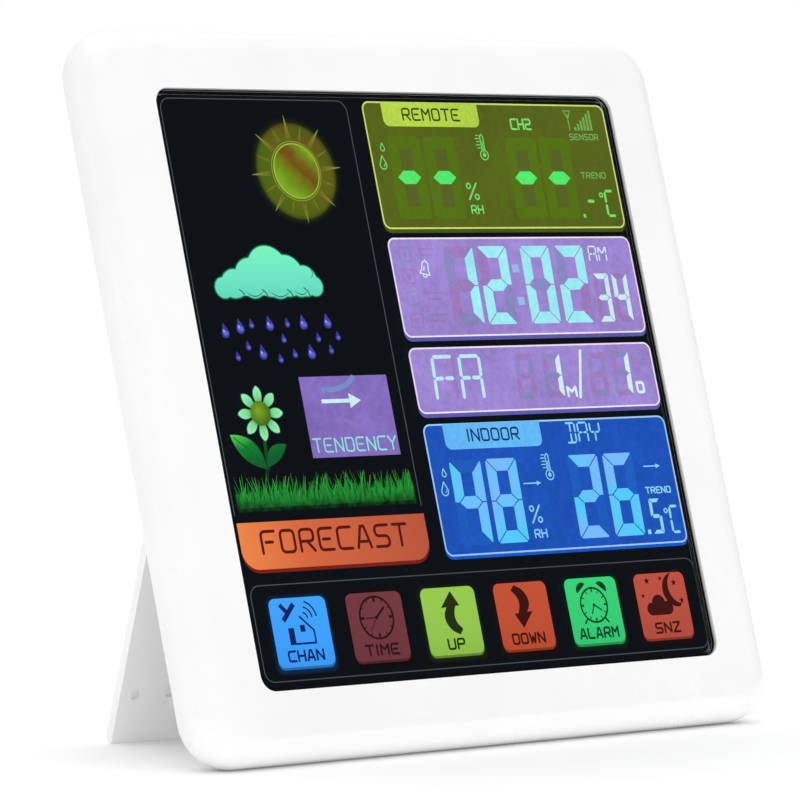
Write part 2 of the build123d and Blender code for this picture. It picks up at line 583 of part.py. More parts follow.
def battery_cells():
    """Four AAA cells, laid alternately left and right, each as one sealed can."""
    cells = []
    contact = BAY_HALF_WIDTH - CONTACT_THICK
    for number in range(CELL_COUNT):
        can_length = CELL_LENGTH - NUB_LENGTH
        can = fillet(Cylinder(CELL_RADIUS, can_length).edges(), SMALL_EDGE)
        nub = Pos(0, 0, can_length / 2 + NUB_LENGTH / 2) * Cylinder(NUB_RADIUS, NUB_LENGTH)
        cell = Rot(0, 90, 0) * (can + nub)
        cell = Pos(contact - CELL_LENGTH + can_length / 2, 0, 0) * cell
        if number % 2:
            cell = Rot(0, 0, 180) * cell
        cells.append(Pos(0, CELL_Y, cell_z(number)) * cell)
    return cells


def battery_contacts():
    """The two sprung-steel end plates, each with a solder tab through the bay's lower wall."""
    plates = []
    for side in (-1, 1):
        near, far = sorted((side * (BAY_HALF_WIDTH - CONTACT_THICK), side * BAY_HALF_WIDTH))
        contact = panel(near, far, BAY_BOTTOM + 0.3, BAY_TOP - 0.3, BAY_FLOOR + 0.3, CONTACT_BACK)
        plates.append(contact + panel(near, far, BAY_BOTTOM - BAY_WALL - TAB_REACH, BAY_BOTTOM + 1,
                                      TAB_FRONT, TAB_BACK))
    return plates


def battery_springs():
    """A conical spring behind each cell's flat end."""
    springs = []
    length = 2 * BAY_HALF_WIDTH - 2 * CONTACT_THICK - CELL_LENGTH
    reach = length - 2 * SPRING_WIRE
    path = Helix(pitch=reach / SPRING_TURNS, height=reach, radius=SPRING_RADIUS,
                 cone_angle=SPRING_TAPER)
    profile = Plane(origin=path @ 0, z_dir=path % 0) * Circle(SPRING_WIRE)
    coil = Rot(0, 90, 0) * Pos(0, 0, SPRING_WIRE) * sweep(profile, path=path)
    for number in range(CELL_COUNT):
        start = Pos(-BAY_HALF_WIDTH + CONTACT_THICK, 0, 0) * coil
        if number % 2:
            start = Rot(0, 0, 180) * start
        springs.append(Pos(0, CELL_Y, cell_z(number)) * start)
    return springs


def battery_wire(side):
    """An insulated lead from a contact tab down to the main board."""
    x = side * (BAY_HALF_WIDTH - CONTACT_THICK / 2)
    landing = x - side * WIRE_SIDESTEP
    depth = (TAB_FRONT + TAB_BACK) / 2
    start = (x, depth, BAY_BOTTOM - BAY_WALL - TAB_REACH - 0.1)
    route = FilletPolyline(start, (x, depth, 1.5), (landing, depth, -5), (landing, BOARD_BACK, -5),
                           radius=2 * WIRE_RADIUS)
    profile = Plane(origin=route @ 0, z_dir=route % 0) * Circle(WIRE_RADIUS)
    return sweep(profile, path=route)


# ---------------------------------------------------------------- fold-out stand
def lift():
    """How far lean() raises the housing, so that its lower back edge rests on the table."""
    edge_y, edge_z = RIM_DEPTH - BACK_ROUND, -HEIGHT / 2 + BACK_ROUND
    return BACK_ROUND + edge_y * sin(radians(LEAN)) - edge_z * cos(radians(LEAN))


def stand_length():
    """Pivot to foot, so that the open stand's front edge just reaches the table."""
    leg = radians(OPEN_ANGLE - LEAN)
    pivot_up = lift() + PIVOT_Z * cos(radians(LEAN)) - PIVOT_Y * sin(radians(LEAN))
    return (pivot_up - STAND_THICK / 2 * sin(leg)) / cos(leg)


def open_stand(piece):
    """Swing a piece drawn on the folded stand out to where the stand is used."""
    pivot = Pos(0, PIVOT_Y, PIVOT_Z)
    return pivot * Rot(OPEN_ANGLE, 0, 0) * pivot.inverse() * piece


def stand():
    """The wide kickstand plate, drawn folded: pivot at the top, foot at the bottom."""
    half, thick = STAND_WIDTH / 2, STAND_THICK / 2
    foot = PIVOT_Z - stand_length()
    leg = panel(-half, half, foot, PIVOT_Z + STAND_HEEL, PIVOT_Y - thick, PIVOT_Y + thick)
    foot_edge = leg.faces().sort_by(Axis.Z)[0].edges().sort_by(Axis.Y)[-1]
    leg = fillet(foot_edge, STAND_FOOT_ROUND)
    bore_length = PIN_LENGTH - PIN_IN_WALL - STAND_GAP
    for side in (-1, 1):
        for edge in DIMPLE_EDGES:
            leg -= disc(side * (half - edge), foot + DIMPLE_UP, DIMPLE_RADIUS,
                        PIVOT_Y - thick - THROUGH, PIVOT_Y - thick + DIMPLE_DEPTH)
        middle = side * (half - bore_length / 2)
        leg -= Pos(middle, PIVOT_Y, PIVOT_Z) * Rot(0, 90, 0) * Cylinder(
            PIN_RADIUS + PIN_FIT / 4, bore_length)
    return leg - grooves(GRIP_COUNT, GRIP_PITCH, foot + GRIP_UP, GRIP_HALF_LENGTH, PIVOT_Y + thick)


def stand_pins():
    """The two short hinge pins, fast in the stand and turning in the pod's side blocks."""
    pins = []
    for side in (-1, 1):
        outer_end = STAND_WIDTH / 2 + STAND_GAP + PIN_IN_WALL
        middle = side * (outer_end - PIN_LENGTH / 2)
        pins.append(Pos(middle, PIVOT_Y, PIVOT_Z) * Rot(0, 90, 0) * Cylinder(PIN_RADIUS, PIN_LENGTH))
    return pins


# ---------------------------------------------------------------- the whole console
def upright_pieces():
    """Every node of the console, upright, with the stand open."""
    return {
        "front_bezel": front_bezel(),
        "rear_cover": rear_cover(),
        "display_glass": display_glass(),
        "glass_gasket": glass_gasket(),
        "touch_film": touch_film(),
        "key_baffle": key_baffle(),
        "lcd_panel": panel(-STACK_SIDE / 2, STACK_SIDE / 2, LCD_BOTTOM, STACK_TOP, LCD_FRONT,
                           LCD_FRONT + LCD_THICK),
        "lcd_flex": lcd_flex(),
        "colour_film": sheet(FILM_FRONT, FILM_THICK),
        "diffuser_sheet": sheet(DIFFUSER_FRONT, DIFFUSER_THICK),
        "light_guide": sheet(GUIDE_FRONT, GUIDE_THICK, left=GUIDE_LEFT),
        "reflector_sheet": sheet(REFLECTOR_FRONT, REFLECTOR_THICK),
        "led_board": led_board(),
        "backlight_leds": backlight_leds(),
        "display_tray": display_tray(),
        "tray_screws": screws(TRAY_SCREWS, TRAY_TIP, EAR_BACK, TRAY_SHANK, TRAY_HEAD),
        "main_board": main_board(),
        "board_screws": screws(BOARD_SCREWS, BOARD_TIP, BOARD_BACK, BOARD_SHANK, BOARD_HEAD),
        "processor_chip": processor_chip(),
        "chip_legs": chip_legs(),
        "touch_connector": mounted(-38, -22, -70, -66, 2.0),
        "lcd_connector": panel(-22, 22, 1.2, 5.1, TRAY_BACK + 0.1, BOARD_FRONT),
        "radio_board": mounted(30, 50, -60, -38, RADIO_BOARD_THICK),
        "radio_shield": radio_shield(),
        "antenna_coil": antenna_coil(),
        "crystal_can": crystal_can(),
        "capacitor": capacitor(),
        "reset_switch": reset_switch(),
        "reset_button": reset_button(),
        "dc_jack": dc_jack(),
        "dc_jack_pin": dc_jack_pin(),
        "buzzer": buzzer(),
        "sensor_board": sensor_board(),
        "humidity_sensor": humidity_sensor(),
        "battery_cells": battery_cells(),
        "battery_contacts": battery_contacts(),
        "battery_springs": battery_springs(),
        "battery_wire_red": battery_wire(-1),
        "battery_wire_black": battery_wire(1),
        "battery_door": battery_door(),
        "stand": open_stand(stand()),
        "stand_pins": [open_stand(pin) for pin in stand_pins()],
        "case_screws": screws(CASE_SCREWS, CASE_TIP, CASE_SEAT, CASE_SHANK, CASE_HEAD),
    }


def as_solids(piece):
    """The separate solids of a node, whether it was drawn as one shape or as a list."""
    parts = piece if isinstance(piece, list) else [piece]
    return [solid for part in parts for solid in part.solids()]


def footprint_middle():
    """Half way between the housing's lower front edge and the stand's foot, before centring."""
    tilt, leg = radians(LEAN), radians(OPEN_ANGLE - LEAN)
    front = (FRONT_ROUND * cos(tilt) + (FRONT_ROUND - HEIGHT / 2) * sin(tilt)) - FRONT_ROUND
    pivot_y = PIVOT_Y * cos(tilt) + PIVOT_Z * sin(tilt)
    reach = stand_length() - STAND_FOOT_ROUND
    curve_y = STAND_THICK / 2 - STAND_FOOT_ROUND
    back = pivot_y + reach * sin(leg) + curve_y * cos(leg) + STAND_FOOT_ROUND
    return (front + back) / 2


def lean(piece):
    """Tip an upright piece back and set it down on the table."""
    return Pos(0, -footprint_middle(), lift()) * Rot(-LEAN, 0, 0) * piece


def main():
    os.makedirs("parts", exist_ok=True)
    for name, piece in upright_pieces().items():
        solids = [lean(solid) for solid in as_solids(piece)]
        shape = solids[0] if len(solids) == 1 else Compound(children=solids)
        export_step(shape, os.path.join("parts", name + ".step"))
    pivot = lean(Pos(0, PIVOT_Y, PIVOT_Z)).position
    print("stand pivot", pivot, "stand length", round(stand_length(), 3))
    landmarks = {
        "door": (0, POD_DEPTH, (DOOR_BOTTOM + DOOR_TOP) / 2),
        "button": (BUTTON_X, POD_DEPTH - BUTTON_SUNK, BUTTON_Z),
        "jack": (JACK_X, POD_DEPTH - WALL, JACK_Z),
        "keyhole": (0, POD_DEPTH, KEYHOLE_Z + KEYHOLE_RISE),
    }
    for label, point in landmarks.items():
        print(label, lean(Pos(*point)).position)


main()
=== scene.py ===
import json
import math
import random

import bmesh
import bpy
import numpy as np
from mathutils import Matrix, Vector
from mathutils.geometry import delaunay_2d_cdt


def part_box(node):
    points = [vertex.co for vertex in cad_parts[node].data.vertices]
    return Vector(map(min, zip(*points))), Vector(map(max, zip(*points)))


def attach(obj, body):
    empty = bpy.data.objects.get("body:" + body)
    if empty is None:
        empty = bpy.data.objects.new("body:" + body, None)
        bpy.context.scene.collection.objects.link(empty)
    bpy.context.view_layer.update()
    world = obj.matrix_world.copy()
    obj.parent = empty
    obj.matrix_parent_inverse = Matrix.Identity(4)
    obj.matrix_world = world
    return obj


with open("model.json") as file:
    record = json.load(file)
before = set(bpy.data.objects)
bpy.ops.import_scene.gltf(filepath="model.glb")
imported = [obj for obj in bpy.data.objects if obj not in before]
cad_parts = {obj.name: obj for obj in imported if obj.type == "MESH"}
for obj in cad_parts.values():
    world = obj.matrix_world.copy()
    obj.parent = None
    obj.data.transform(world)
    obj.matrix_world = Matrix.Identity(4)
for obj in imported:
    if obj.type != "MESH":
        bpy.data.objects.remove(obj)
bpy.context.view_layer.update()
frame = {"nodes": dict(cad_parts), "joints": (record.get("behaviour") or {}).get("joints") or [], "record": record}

# A tabletop weather station: white housing on a fold-out stand, and a dark touch glass over a lit display.
# The display's art is drawn flat, in millimetres on the glass: x to the right and y down from its top
# left corner, and depth away from the viewer from the glass's front face. on_panel() places it.

NODES = frame["nodes"]
MM = 0.001

# ---- the panel's own frame, from the CAD
joints = {joint["name"]: joint for joint in frame["joints"]}
INTO = Vector(joints["door_lift"]["axis"]).normalized()     # square to the glass, away from the viewer
RIGHT = Vector((1.0, 0.0, 0.0))
UP = RIGHT.cross(INTO)                                      # up the tilted panel
glass_low, glass_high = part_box("display_glass")
GLASS_MIDDLE = (glass_low + glass_high) / 2
SIDE = (glass_high.x - glass_low.x) / MM                    # the glass is square
GLASS_THICK = 2.0

# Depths behind the glass's front face, each layer a little nearer the viewer than the one before.
LAYER = 0.04
SHEET = 0.03
GROUND = GLASS_THICK + 0.28
GLOW, FILL, GHOST, LIT, PRINT, TOP = (GROUND - LAYER * step for step in range(1, 7))

# The print is registered a little to the right of and above the middle of the glass.
PRINT_RIGHT, PRINT_UP = 0.9, 0.65


def on_panel(x, y, depth):
    """A point of the display, in the row frame."""
    across = RIGHT * (x - SIDE / 2 + PRINT_RIGHT)
    down = UP * (SIDE / 2 - y + PRINT_UP)
    return GLASS_MIDDLE + (across + down + INTO * (depth - GLASS_THICK / 2)) * MM


# ---- flat outlines, in panel millimetres
def rect(x0, y0, x1, y1):
    return [(x0, y0), (x1, y0), (x1, y1), (x0, y1)]


def arc(cx, cy, radius, start, end, steps=12, squash=1.0):
    """Points along an arc. Angles in degrees, clockwise on the panel from its right."""
    points = []
    for step in range(steps + 1):
        angle = math.radians(start + (end - start) * step / steps)
        points.append((cx + radius * math.cos(angle), cy + radius * squash * math.sin(angle)))
    return points


def disc(cx, cy, radius, steps=48, squash=1.0):
    return arc(cx, cy, radius, 0, 360, steps, squash)[:-1]


def rounded(x0, y0, x1, y1, radius, corners="tl tr br bl"):
    """A rectangle with some or all of its corners rounded."""
    centres = {"tl": (x0 + radius, y0 + radius, 180), "tr": (x1 - radius, y0 + radius, 270),
               "br": (x1 - radius, y1 - radius, 0), "bl": (x0 + radius, y1 - radius, 90)}
    sharp = {"tl": (x0, y0), "tr": (x1, y0), "br": (x1, y1), "bl": (x0, y1)}
    points = []
    for corner in ("tl", "tr", "br", "bl"):
        if corner in corners.split():
            cx, cy, start = centres[corner]
            points += arc(cx, cy, radius, start, start + 90, 8)
        else:
            points.append(sharp[corner])
    return points


def quad(p, q, width):
    """The rectangle along a line, as wide as the pen."""
    length = math.hypot(q[0] - p[0], q[1] - p[1])
    nx, ny = (p[1] - q[1]) / length * width / 2, (q[0] - p[0]) / length * width / 2
    return [(p[0] + nx, p[1] + ny), (q[0] + nx, q[1] + ny), (q[0] - nx, q[1] - ny), (p[0] - nx, p[1] - ny)]


def stroke(points, width, closed=False, round_ends=True):
    """A pen line through points, as a list of outlines that overlap."""
    ends = points[1:] + points[:1] if closed else points[1:]
    shapes = [quad(p, q, width) for p, q in zip(points, ends)]
    joins = points if closed or round_ends else points[1:-1]
    return shapes + [disc(x, y, width / 2, 12) for x, y in joins]


def bar(p, q, width, gap=0.12):
    """One thin display segment: a bar with pointed ends, a little short of its corners."""
    half, length = width / 2, math.hypot(q[0] - p[0], q[1] - p[1])
    ux, uy = (q[0] - p[0]) / length, (q[1] - p[1]) / length
    shoulder = gap + half
    corners = ((p, gap, 0), (p, shoulder, half), (q, -shoulder, half), (q, -gap, 0), (q, -shoulder, -half),
               (p, shoulder, -half))
    return [(x + ux * along - uy * side, y + uy * along + ux * side) for (x, y), along, side in corners]


def turned(points, cx, cy, degrees):
    """Points turned clockwise about a centre."""
    c, s = math.cos(math.radians(degrees)), math.sin(math.radians(degrees))
    return [(cx + (x - cx) * c - (y - cy) * s, cy + (x - cx) * s + (y - cy) * c) for x, y in points]


def softened(points, radius):
    """A polyline with its corners rounded off."""
    result = [points[0]]
    for before, corner, after in zip(points, points[1:], points[2:]):
        before, corner, after = Vector(before), Vector(corner), Vector(after)
        reach = min(radius, (before - corner).length / 2.01, (after - corner).length / 2.01)
        start = corner + (before - corner).normalized() * reach
        end = corner + (after - corner).normalized() * reach
        for step in range(6):
            t = step / 5
            bend = start * (1 - t) ** 2 + corner * 2 * t * (1 - t) + end * t ** 2
            result.append((bend.x, bend.y))
    return result + [points[-1]]


# ---- from outlines to a piece
def wound(outline):
    """The same outline, always the same way round."""
    area = sum(p[0] * q[1] - q[0] * p[1] for p, q in zip(outline, outline[1:] + outline[:1]))
    return outline if area > 0 else outline[::-1]


def covers(outline, points):
    """Which of the points lie inside an outline."""
    inside = np.zeros(len(points), bool)
    x, y = points[:, 0], points[:, 1]
    for (ax, ay), (bx, by) in zip(outline, outline[1:] + outline[:1]):
        crosses = (ay > y) != (by > y)
        if ay != by:
            inside ^= crosses & (x < (bx - ax) * (y - ay) / (by - ay) + ax)
    return inside


def united(shapes, cuts):
    """One flat triangle mesh of all the shapes together, less the cuts."""
    points, faces = [], []
    for outline in map(wound, shapes + cuts):
        faces.append(list(range(len(points), len(points) + len(outline))))
        points += [Vector((x, y)) for x, y in outline]
    verts, _, tris, _, _, _ = delaunay_2d_cdt(points, [], faces, 0, 1e-5)
    flat = np.array([(v.x, v.y) for v in verts])
    middles = flat[np.array(tris)].mean(axis=1)
    inside = np.zeros(len(tris), bool)
    for outlines, answer in ((shapes, True), (cuts, False)):
        for outline in outlines:
            low, high = np.min(outline, axis=0), np.max(outline, axis=0)
            near = np.all((middles >= low) & (middles <= high), axis=1)
            near[near] = covers(outline, middles[near])
            inside[near] = answer
    return verts, [tri for tri, keep in zip(tris, inside) if keep]


def drawn(name, shapes, material, depth, cuts=(), body="housing"):
    """A thin flat piece of the display, from its outlines, in a material or in the ink of that name."""
    verts, tris = united(list(shapes), list(cuts))
    mesh_data = bmesh.new()
    used = sorted({index for tri in tris for index in tri})
    front = {i: mesh_data.verts.new(on_panel(verts[i].x, verts[i].y, depth)) for i in used}
    back = {i: mesh_data.verts.new(on_panel(verts[i].x, verts[i].y, depth + SHEET)) for i in used}
    edges = {}                  # each edge the way round its triangle; a rim's edge has no opposite
    for a, b, c in tris:
        mesh_data.faces.new((front[a], front[b], front[c]))
        mesh_data.faces.new((back[c], back[b], back[a]))
        edges.update(dict.fromkeys(((a, b), (b, c), (c, a))))
    for p, q in edges:
        if (q, p) not in edges:
            mesh_data.faces.new((front[q], front[p], back[p], back[q]))
    bmesh.ops.recalc_face_normals(mesh_data, faces=mesh_data.faces)
    data = bpy.data.meshes.new(name)
    mesh_data.to_mesh(data)
    mesh_data.free()
    data.materials.append(INK.get(material, material))
    piece = bpy.data.objects.new(name, data)
    bpy.context.scene.collection.objects.link(piece)
    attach(piece, body)


# ---- materials
def linear(red, green, blue):
    """A screen colour, 0 to 255, as the linear colour that a shader takes."""
    def channel(value):
        share = value / 255
        return share / 12.92 if share <= 0.04045 else ((share + 0.055) / 1.055) ** 2.4
    return (channel(red), channel(green), channel(blue), 1.0)


def shaded(colour, factor):
    return tuple(min(1.0, part * factor) for part in colour[:3]) + (1.0,)


def stops(*rows):
    """The stops of a ramp, from rows of a position and a screen colour."""
    return [(position, linear(*colour)) for position, *colour in rows]


class Wiring:
    """Short ways to wire the nodes of a material or of the world."""

    def __init__(self, tree):
        self.tree = tree

    def node(self, kind, **settings):
        made = self.tree.nodes.new(kind)
        for key, value in settings.items():
            setattr(made, key, value)
        return made

    def link(self, output, target):
        self.tree.links.new(output, target)

    def feed(self, sockets, values):
        """Gives each socket its value, whether a constant or another node's output."""
        for socket, value in zip(sockets, values):
            if isinstance(value, (int, float, tuple)):
                socket.default_value = value
            else:
                self.link(value, socket)

    def span(self, value, low, high, to_low=0.0, to_high=1.0, **settings):
        made = self.node("ShaderNodeMapRange", **settings)
        sockets = [made.inputs[name] for name in ("Value", "From Min", "From Max", "To Min", "To Max")]
        self.feed(sockets, (value, low, high, to_low, to_high))
        return made.outputs["Result"]

    def maths(self, operation, *values):
        made = self.node("ShaderNodeMath", operation=operation)
        self.feed(made.inputs, values)
        return made.outputs[0]


class Shader(Wiring):
    """A Principled material."""

    def __init__(self, name, **values):
        self.material = bpy.data.materials.new(name)
        self.material.use_nodes = True
        super().__init__(self.material.node_tree)
        self.main = self.tree.nodes["Principled BSDF"]
        for socket, value in values.items():
            self.main.inputs[socket.replace("_", " ")].default_value = value

    def set(self, **outputs):
        """Links outputs to the Principled node's inputs, with _ for a space."""
        for socket, output in outputs.items():
            self.link(output, self.main.inputs[socket.replace("_", " ")])

    def place(self):
        """Where a point lies in the row frame."""
        return self.node("ShaderNodeTexCoord").outputs["Object"]

    def noise(self, scale, detail=4.0, roughness=0.55, place=None):
        made = self.node("ShaderNodeTexNoise")
        sockets = [made.inputs[name] for name in ("Scale", "Detail", "Roughness", "Vector")]
        self.feed(sockets, (scale, detail, roughness, place or self.place()))
        return made.outputs["Fac"]

    def ramp(self, factor, stops):
        """Colours along a 0 to 1 factor: a list of (position, colour)."""
        made = self.node("ShaderNodeValToRGB")
        band = made.color_ramp
        while len(band.elements) < len(stops):
            band.elements.new(0.5)
        for element, (position, colour) in zip(band.elements, stops):
            element.position = position
            element.color = colour
        self.link(factor, made.inputs["Fac"])
        return made.outputs["Color"]

    def tones(self, factor, colour, low, high):
        """One colour, from darker to lighter as a noise rises."""
        return self.ramp(factor, [(0.3, shaded(colour, low)), (0.7, shaded(colour, high))])

    def blended(self, first, second, share):
        """Two noises as one, with the first one's share."""
        parts = self.maths("MULTIPLY", first, share), self.maths("MULTIPLY", second, 1 - share)
        return self.maths("ADD", *parts)

    def wavering(self, value, noise, wobble):
        """A value that a noise moves up and down by half of the wobble."""
        moved = self.maths("ADD", value, self.maths("MULTIPLY", noise, wobble))
        return self.maths("SUBTRACT", moved, wobble / 2)

    def mixed(self, factor, first, second):
        made = self.node("ShaderNodeMix", data_type="RGBA")
        self.feed((made.inputs[0], made.inputs[6], made.inputs[7]), (factor, first, second))
        return made.outputs[2]

    def vector(self, operation, first, second, output):
        made = self.node("ShaderNodeVectorMath", operation=operation)
        self.link(first, made.inputs[0])
        made.inputs[1].default_value = second
        return made.outputs[output]

    def along(self, direction, start, length):
        """0 to 1 along a direction of the panel, from a start point, over a length in millimetres."""
        place = self.vector("DOT_PRODUCT", self.place(), direction, "Value")
        begin = direction.dot(start)
        return self.span(place, begin, begin + length * MM)

    def away(self, centre):
        """Distance from a point of the row frame, in metres."""
        return self.vector("DISTANCE", self.place(), centre, "Value")

    def bump(self, height, strength, distance):
        made = self.node("ShaderNodeBump")
        made.inputs["Strength"].default_value = strength
        made.inputs["Distance"].default_value = distance
        self.link(height, made.inputs["Height"])
        self.set(Normal=made.outputs["Normal"])


BLACK = (0.0, 0.0, 0.0, 1.0)
GLASS_GAIN = 1.08      # makes up for what the glass's two faces mirror away


def glowing(shader, tint):
    """Sends a colour out as backlight, with a dark print of the same hue under it."""
    shader.set(Emission_Color=tint, Base_Color=shader.mixed(0.97, tint, BLACK))
    shader.main.inputs["Emission Strength"].default_value = GLASS_GAIN
    shader.main.inputs["Specular IOR Level"].default_value = 0.0
    return shader.material


def backlit(name, colour, variation=0.06, grain=900.0, patches=28.0):
    """Light through a printed film and the display cell: even, with a fine grain and slow patches."""
    shader = Shader(name, Roughness=0.5)
    both = shader.blended(shader.noise(grain, 3.0, 0.7), shader.noise(patches, 2.0, 0.5), 0.55)
    return glowing(shader, shader.tones(both, colour, 1 - variation * 3, 1 + variation * 3))


def mottled(name, first, second):
    """A lit segment whose hue drifts between two, as where the film's printed colours overlap."""
    shader = Shader(name, Roughness=0.5)
    where = shader.wavering(shader.noise(75.0, 1.0, 0.4), shader.noise(800.0, 3.0, 0.6), 0.2)
    return glowing(shader, shader.ramp(where, [(0.4, first), (0.6, second)]))


# ---- lettering: plain pen strokes on a 4 x 6 grid
PEN_LETTERS = {
    "A": [[(0, 6), (1.5, 0), (2.5, 0), (4, 6)], [(1.1, 4.3), (2.9, 4.3)]],
    "C": [[(4, 0), (0, 0), (0, 6), (4, 6)]],
    "D": [[(0, 0), (0, 6), (4, 6), (4, 0), (0, 0)]],
    "E": [[(4, 0), (0, 0), (0, 6), (4, 6)], [(1.2, 3), (3.2, 3)]],
    "F": [[(4, 0), (0, 0), (0, 6)], [(1.2, 3), (3.2, 3)]],
    "H": [[(0, 0), (0, 6)], [(4, 0), (4, 6)], [(0, 3), (4, 3)]],
    "I": [[(2, 0), (2, 6)]],
    "L": [[(0, 0), (0, 6), (4, 6)]],
    "M": [[(0, 6), (0, 0), (2, 3), (4, 0), (4, 6)]],
    "N": [[(0, 6), (0, 0), (4, 6), (4, 0)]],
    "O": [[(0, 3), (0, 0), (4, 0), (4, 6), (0, 6), (0, 3)]],
    "P": [[(0, 6), (0, 0), (4, 0), (4, 3.3), (0, 3.3)]],
    "R": [[(0, 6), (0, 0), (4, 0), (4, 3.3), (0.4, 3.3)], [(2, 3.3), (4, 6)]],
    "S": [[(4, 0), (0, 0), (0, 3), (4, 3), (4, 6), (0, 6)]],
    "T": [[(0, 0), (4, 0)], [(2, 0), (2, 6)]],
    "U": [[(0, 0), (0, 6), (4, 6), (4, 0)]],
    "W": [[(0, 0), (1, 6), (2, 2), (3, 6), (4, 0)]],
    "Y": [[(0, 0), (2, 3), (4, 0)], [(2, 3), (2, 6)]],
    "Z": [[(0, 0), (4, 0), (0, 6), (4, 6)]],
    "2": [[(0, 0), (4, 0), (4, 3), (0, 3), (0, 6), (4, 6)]],
}
SHARP_LETTERS = "AMNTWYZH"
NARROW_LETTERS = "I"


def lettering(word, x0, y0, x1, y1, pen):
    """A word that fills a box, in pen strokes."""
    spaces = len(word) - 1
    narrow = sum(letter in NARROW_LETTERS for letter in word)
    height = y1 - y0 - pen
    unit = (x1 - x0 - pen) / (len(word) - narrow * 0.8 + spaces * 0.42)
    shapes, x = [], x0 + pen / 2
    for letter in word:
        wide = unit * (0.2 if letter in NARROW_LETTERS else 1.0)
        for line in PEN_LETTERS[letter]:
            if letter in NARROW_LETTERS:
                points = [(x + wide / 2, y0 + pen / 2 + v / 6 * height) for u, v in line]
            else:
                points = [(x + u / 4 * unit, y0 + pen / 2 + v / 6 * height) for u, v in line]
            if letter not in SHARP_LETTERS:
                points = softened(points, unit * 0.3)
            shapes += stroke(points, pen)
        x += wide + unit * 0.42
    return shapes


# ---- seven-segment numbers
SEGMENTS_OF = {"0": "abcdef", "1": "bc", "2": "abged", "3": "abgcd", "4": "fgbc", "5": "afgcd",
               "6": "afgedc", "8": "abcdefg", " ": ""}


def seven(x0, y0, wide, high, lit, weight=0.31, gap=0.3, slant=0.026):
    """One digit: (outlines of the lit segments, outlines of the gaps between all of them)."""
    t = wide * weight
    tip = t * 0.42
    middle = high / 2
    outlines = {
        "a": [(0, 0), (wide, 0), (wide - t, t), (t, t)],
        "b": [(wide, 0), (wide, middle), (wide - tip, middle), (wide - t, middle - t / 2), (wide - t, t)],
        "c": [(wide, high), (wide - t, high - t), (wide - t, middle + t / 2), (wide - tip, middle),
              (wide, middle)],
        "d": [(0, high), (t, high - t), (wide - t, high - t), (wide, high)],
        "e": [(0, high), (0, middle), (tip, middle), (t, middle + t / 2), (t, high - t)],
        "f": [(0, 0), (t, t), (t, middle - t / 2), (tip, middle), (0, middle)],
        "g": [(tip, middle), (t, middle - t / 2), (wide - t, middle - t / 2), (wide - tip, middle),
              (wide - t, middle + t / 2), (t, middle + t / 2)],
    }
    lines = []
    for x, inner, point in ((0, t, tip), (wide, wide - t, wide - tip)):
        lines += [((x, 0), (inner, t)), ((x, high), (inner, high - t)), ((x, middle), (point, middle)),
                  ((point, middle), (inner, middle - t / 2)), ((point, middle), (inner, middle + t / 2))]
    cut = wide * 0.07
    corners = [[(0, 0), (cut, 0), (0, cut)], [(wide, 0), (wide, cut), (wide - cut, 0)],
               [(0, high), (0, high - cut), (cut, high)],
               [(wide, high), (wide - cut, high), (wide, high - cut)]]

    def placed(points):
        return [(x0 + x + (high - y) * slant, y0 + y) for x, y in points]
    shapes = [placed(outlines[name]) for name in lit]
    gaps = [placed(quad(p, q, gap)) for p, q in lines] + [placed(corner) for corner in corners]
    return shapes, gaps


def figures(text, places, y0, high, wide, lit=True, **style):
    """Digits at their left edges, as (outlines, gaps): the lit segments, or those that are off."""
    shapes, gaps = [], []
    for letter, x in zip(text, places):
        names = SEGMENTS_OF[letter]
        if not lit:
            names = [name for name in "abcdefg" if name not in names]
        outlines, between = seven(x, y0, wide, high, names, **style)
        shapes += outlines
        gaps += between
    return shapes, gaps


# Thin segments, each between two points of a 4 x 6 grid, and the letters made of them.
THIN_BARS = {"a": (0, 0, 4, 0), "b": (4, 0, 4, 3), "c": (4, 3, 4, 6), "d": (0, 6, 4, 6), "e": (0, 3, 0, 6),
             "f": (0, 0, 0, 3), "g": (0, 3, 2, 3), "h": (2, 3, 4, 3), "i": (2, 0, 2, 3), "j": (2, 3, 2, 6),
             "k": (0, 0, 2, 3), "l": (4, 0, 2, 3)}
LETTER_BARS = {"D": "abcdij", "A": "afbecgh", "Y": "fbghj", "F": "afegh", "R": "afbeghc", "M": "febckl"}


def bar_letters(word, x0, y0, x1, y1, weight, slant=0.026):
    """A word in thin display segments that fills a box."""
    unit = (x1 - x0) / (len(word) + (len(word) - 1) * 0.35)
    high = y1 - y0
    shapes = []
    for index, letter in enumerate(word):
        left = x0 + index * unit * 1.35
        for ax, ay, bx, by in (THIN_BARS[name] for name in LETTER_BARS[letter]):
            p = (left + ax / 4 * unit + (6 - ay) / 6 * high * slant, y0 + ay / 6 * high)
            q = (left + bx / 4 * unit + (6 - by) / 6 * high * slant, y0 + by / 6 * high)
            shapes.append(bar(p, q, weight))
    return shapes


# ---- housing and inner materials, one per slot
def moulded(name, colour, roughness):
    """Injection-moulded plastic: a fine spark-eroded grain, slow flow marks and uneven gloss."""
    shader = Shader(name, IOR=1.5)
    fine = shader.noise(2600.0, 3.0, 0.6)
    slow = shader.noise(22.0, 3.0, 0.55)
    gloss = shader.blended(fine, slow, 0.4)
    shader.set(Base_Color=shader.tones(slow, colour, 0.975, 1.0125),
               Roughness=shader.span(gloss, 0.25, 0.75, roughness - 0.05, roughness + 0.07))
    shader.bump(fine, 0.35, 0.00002)
    return shader.material


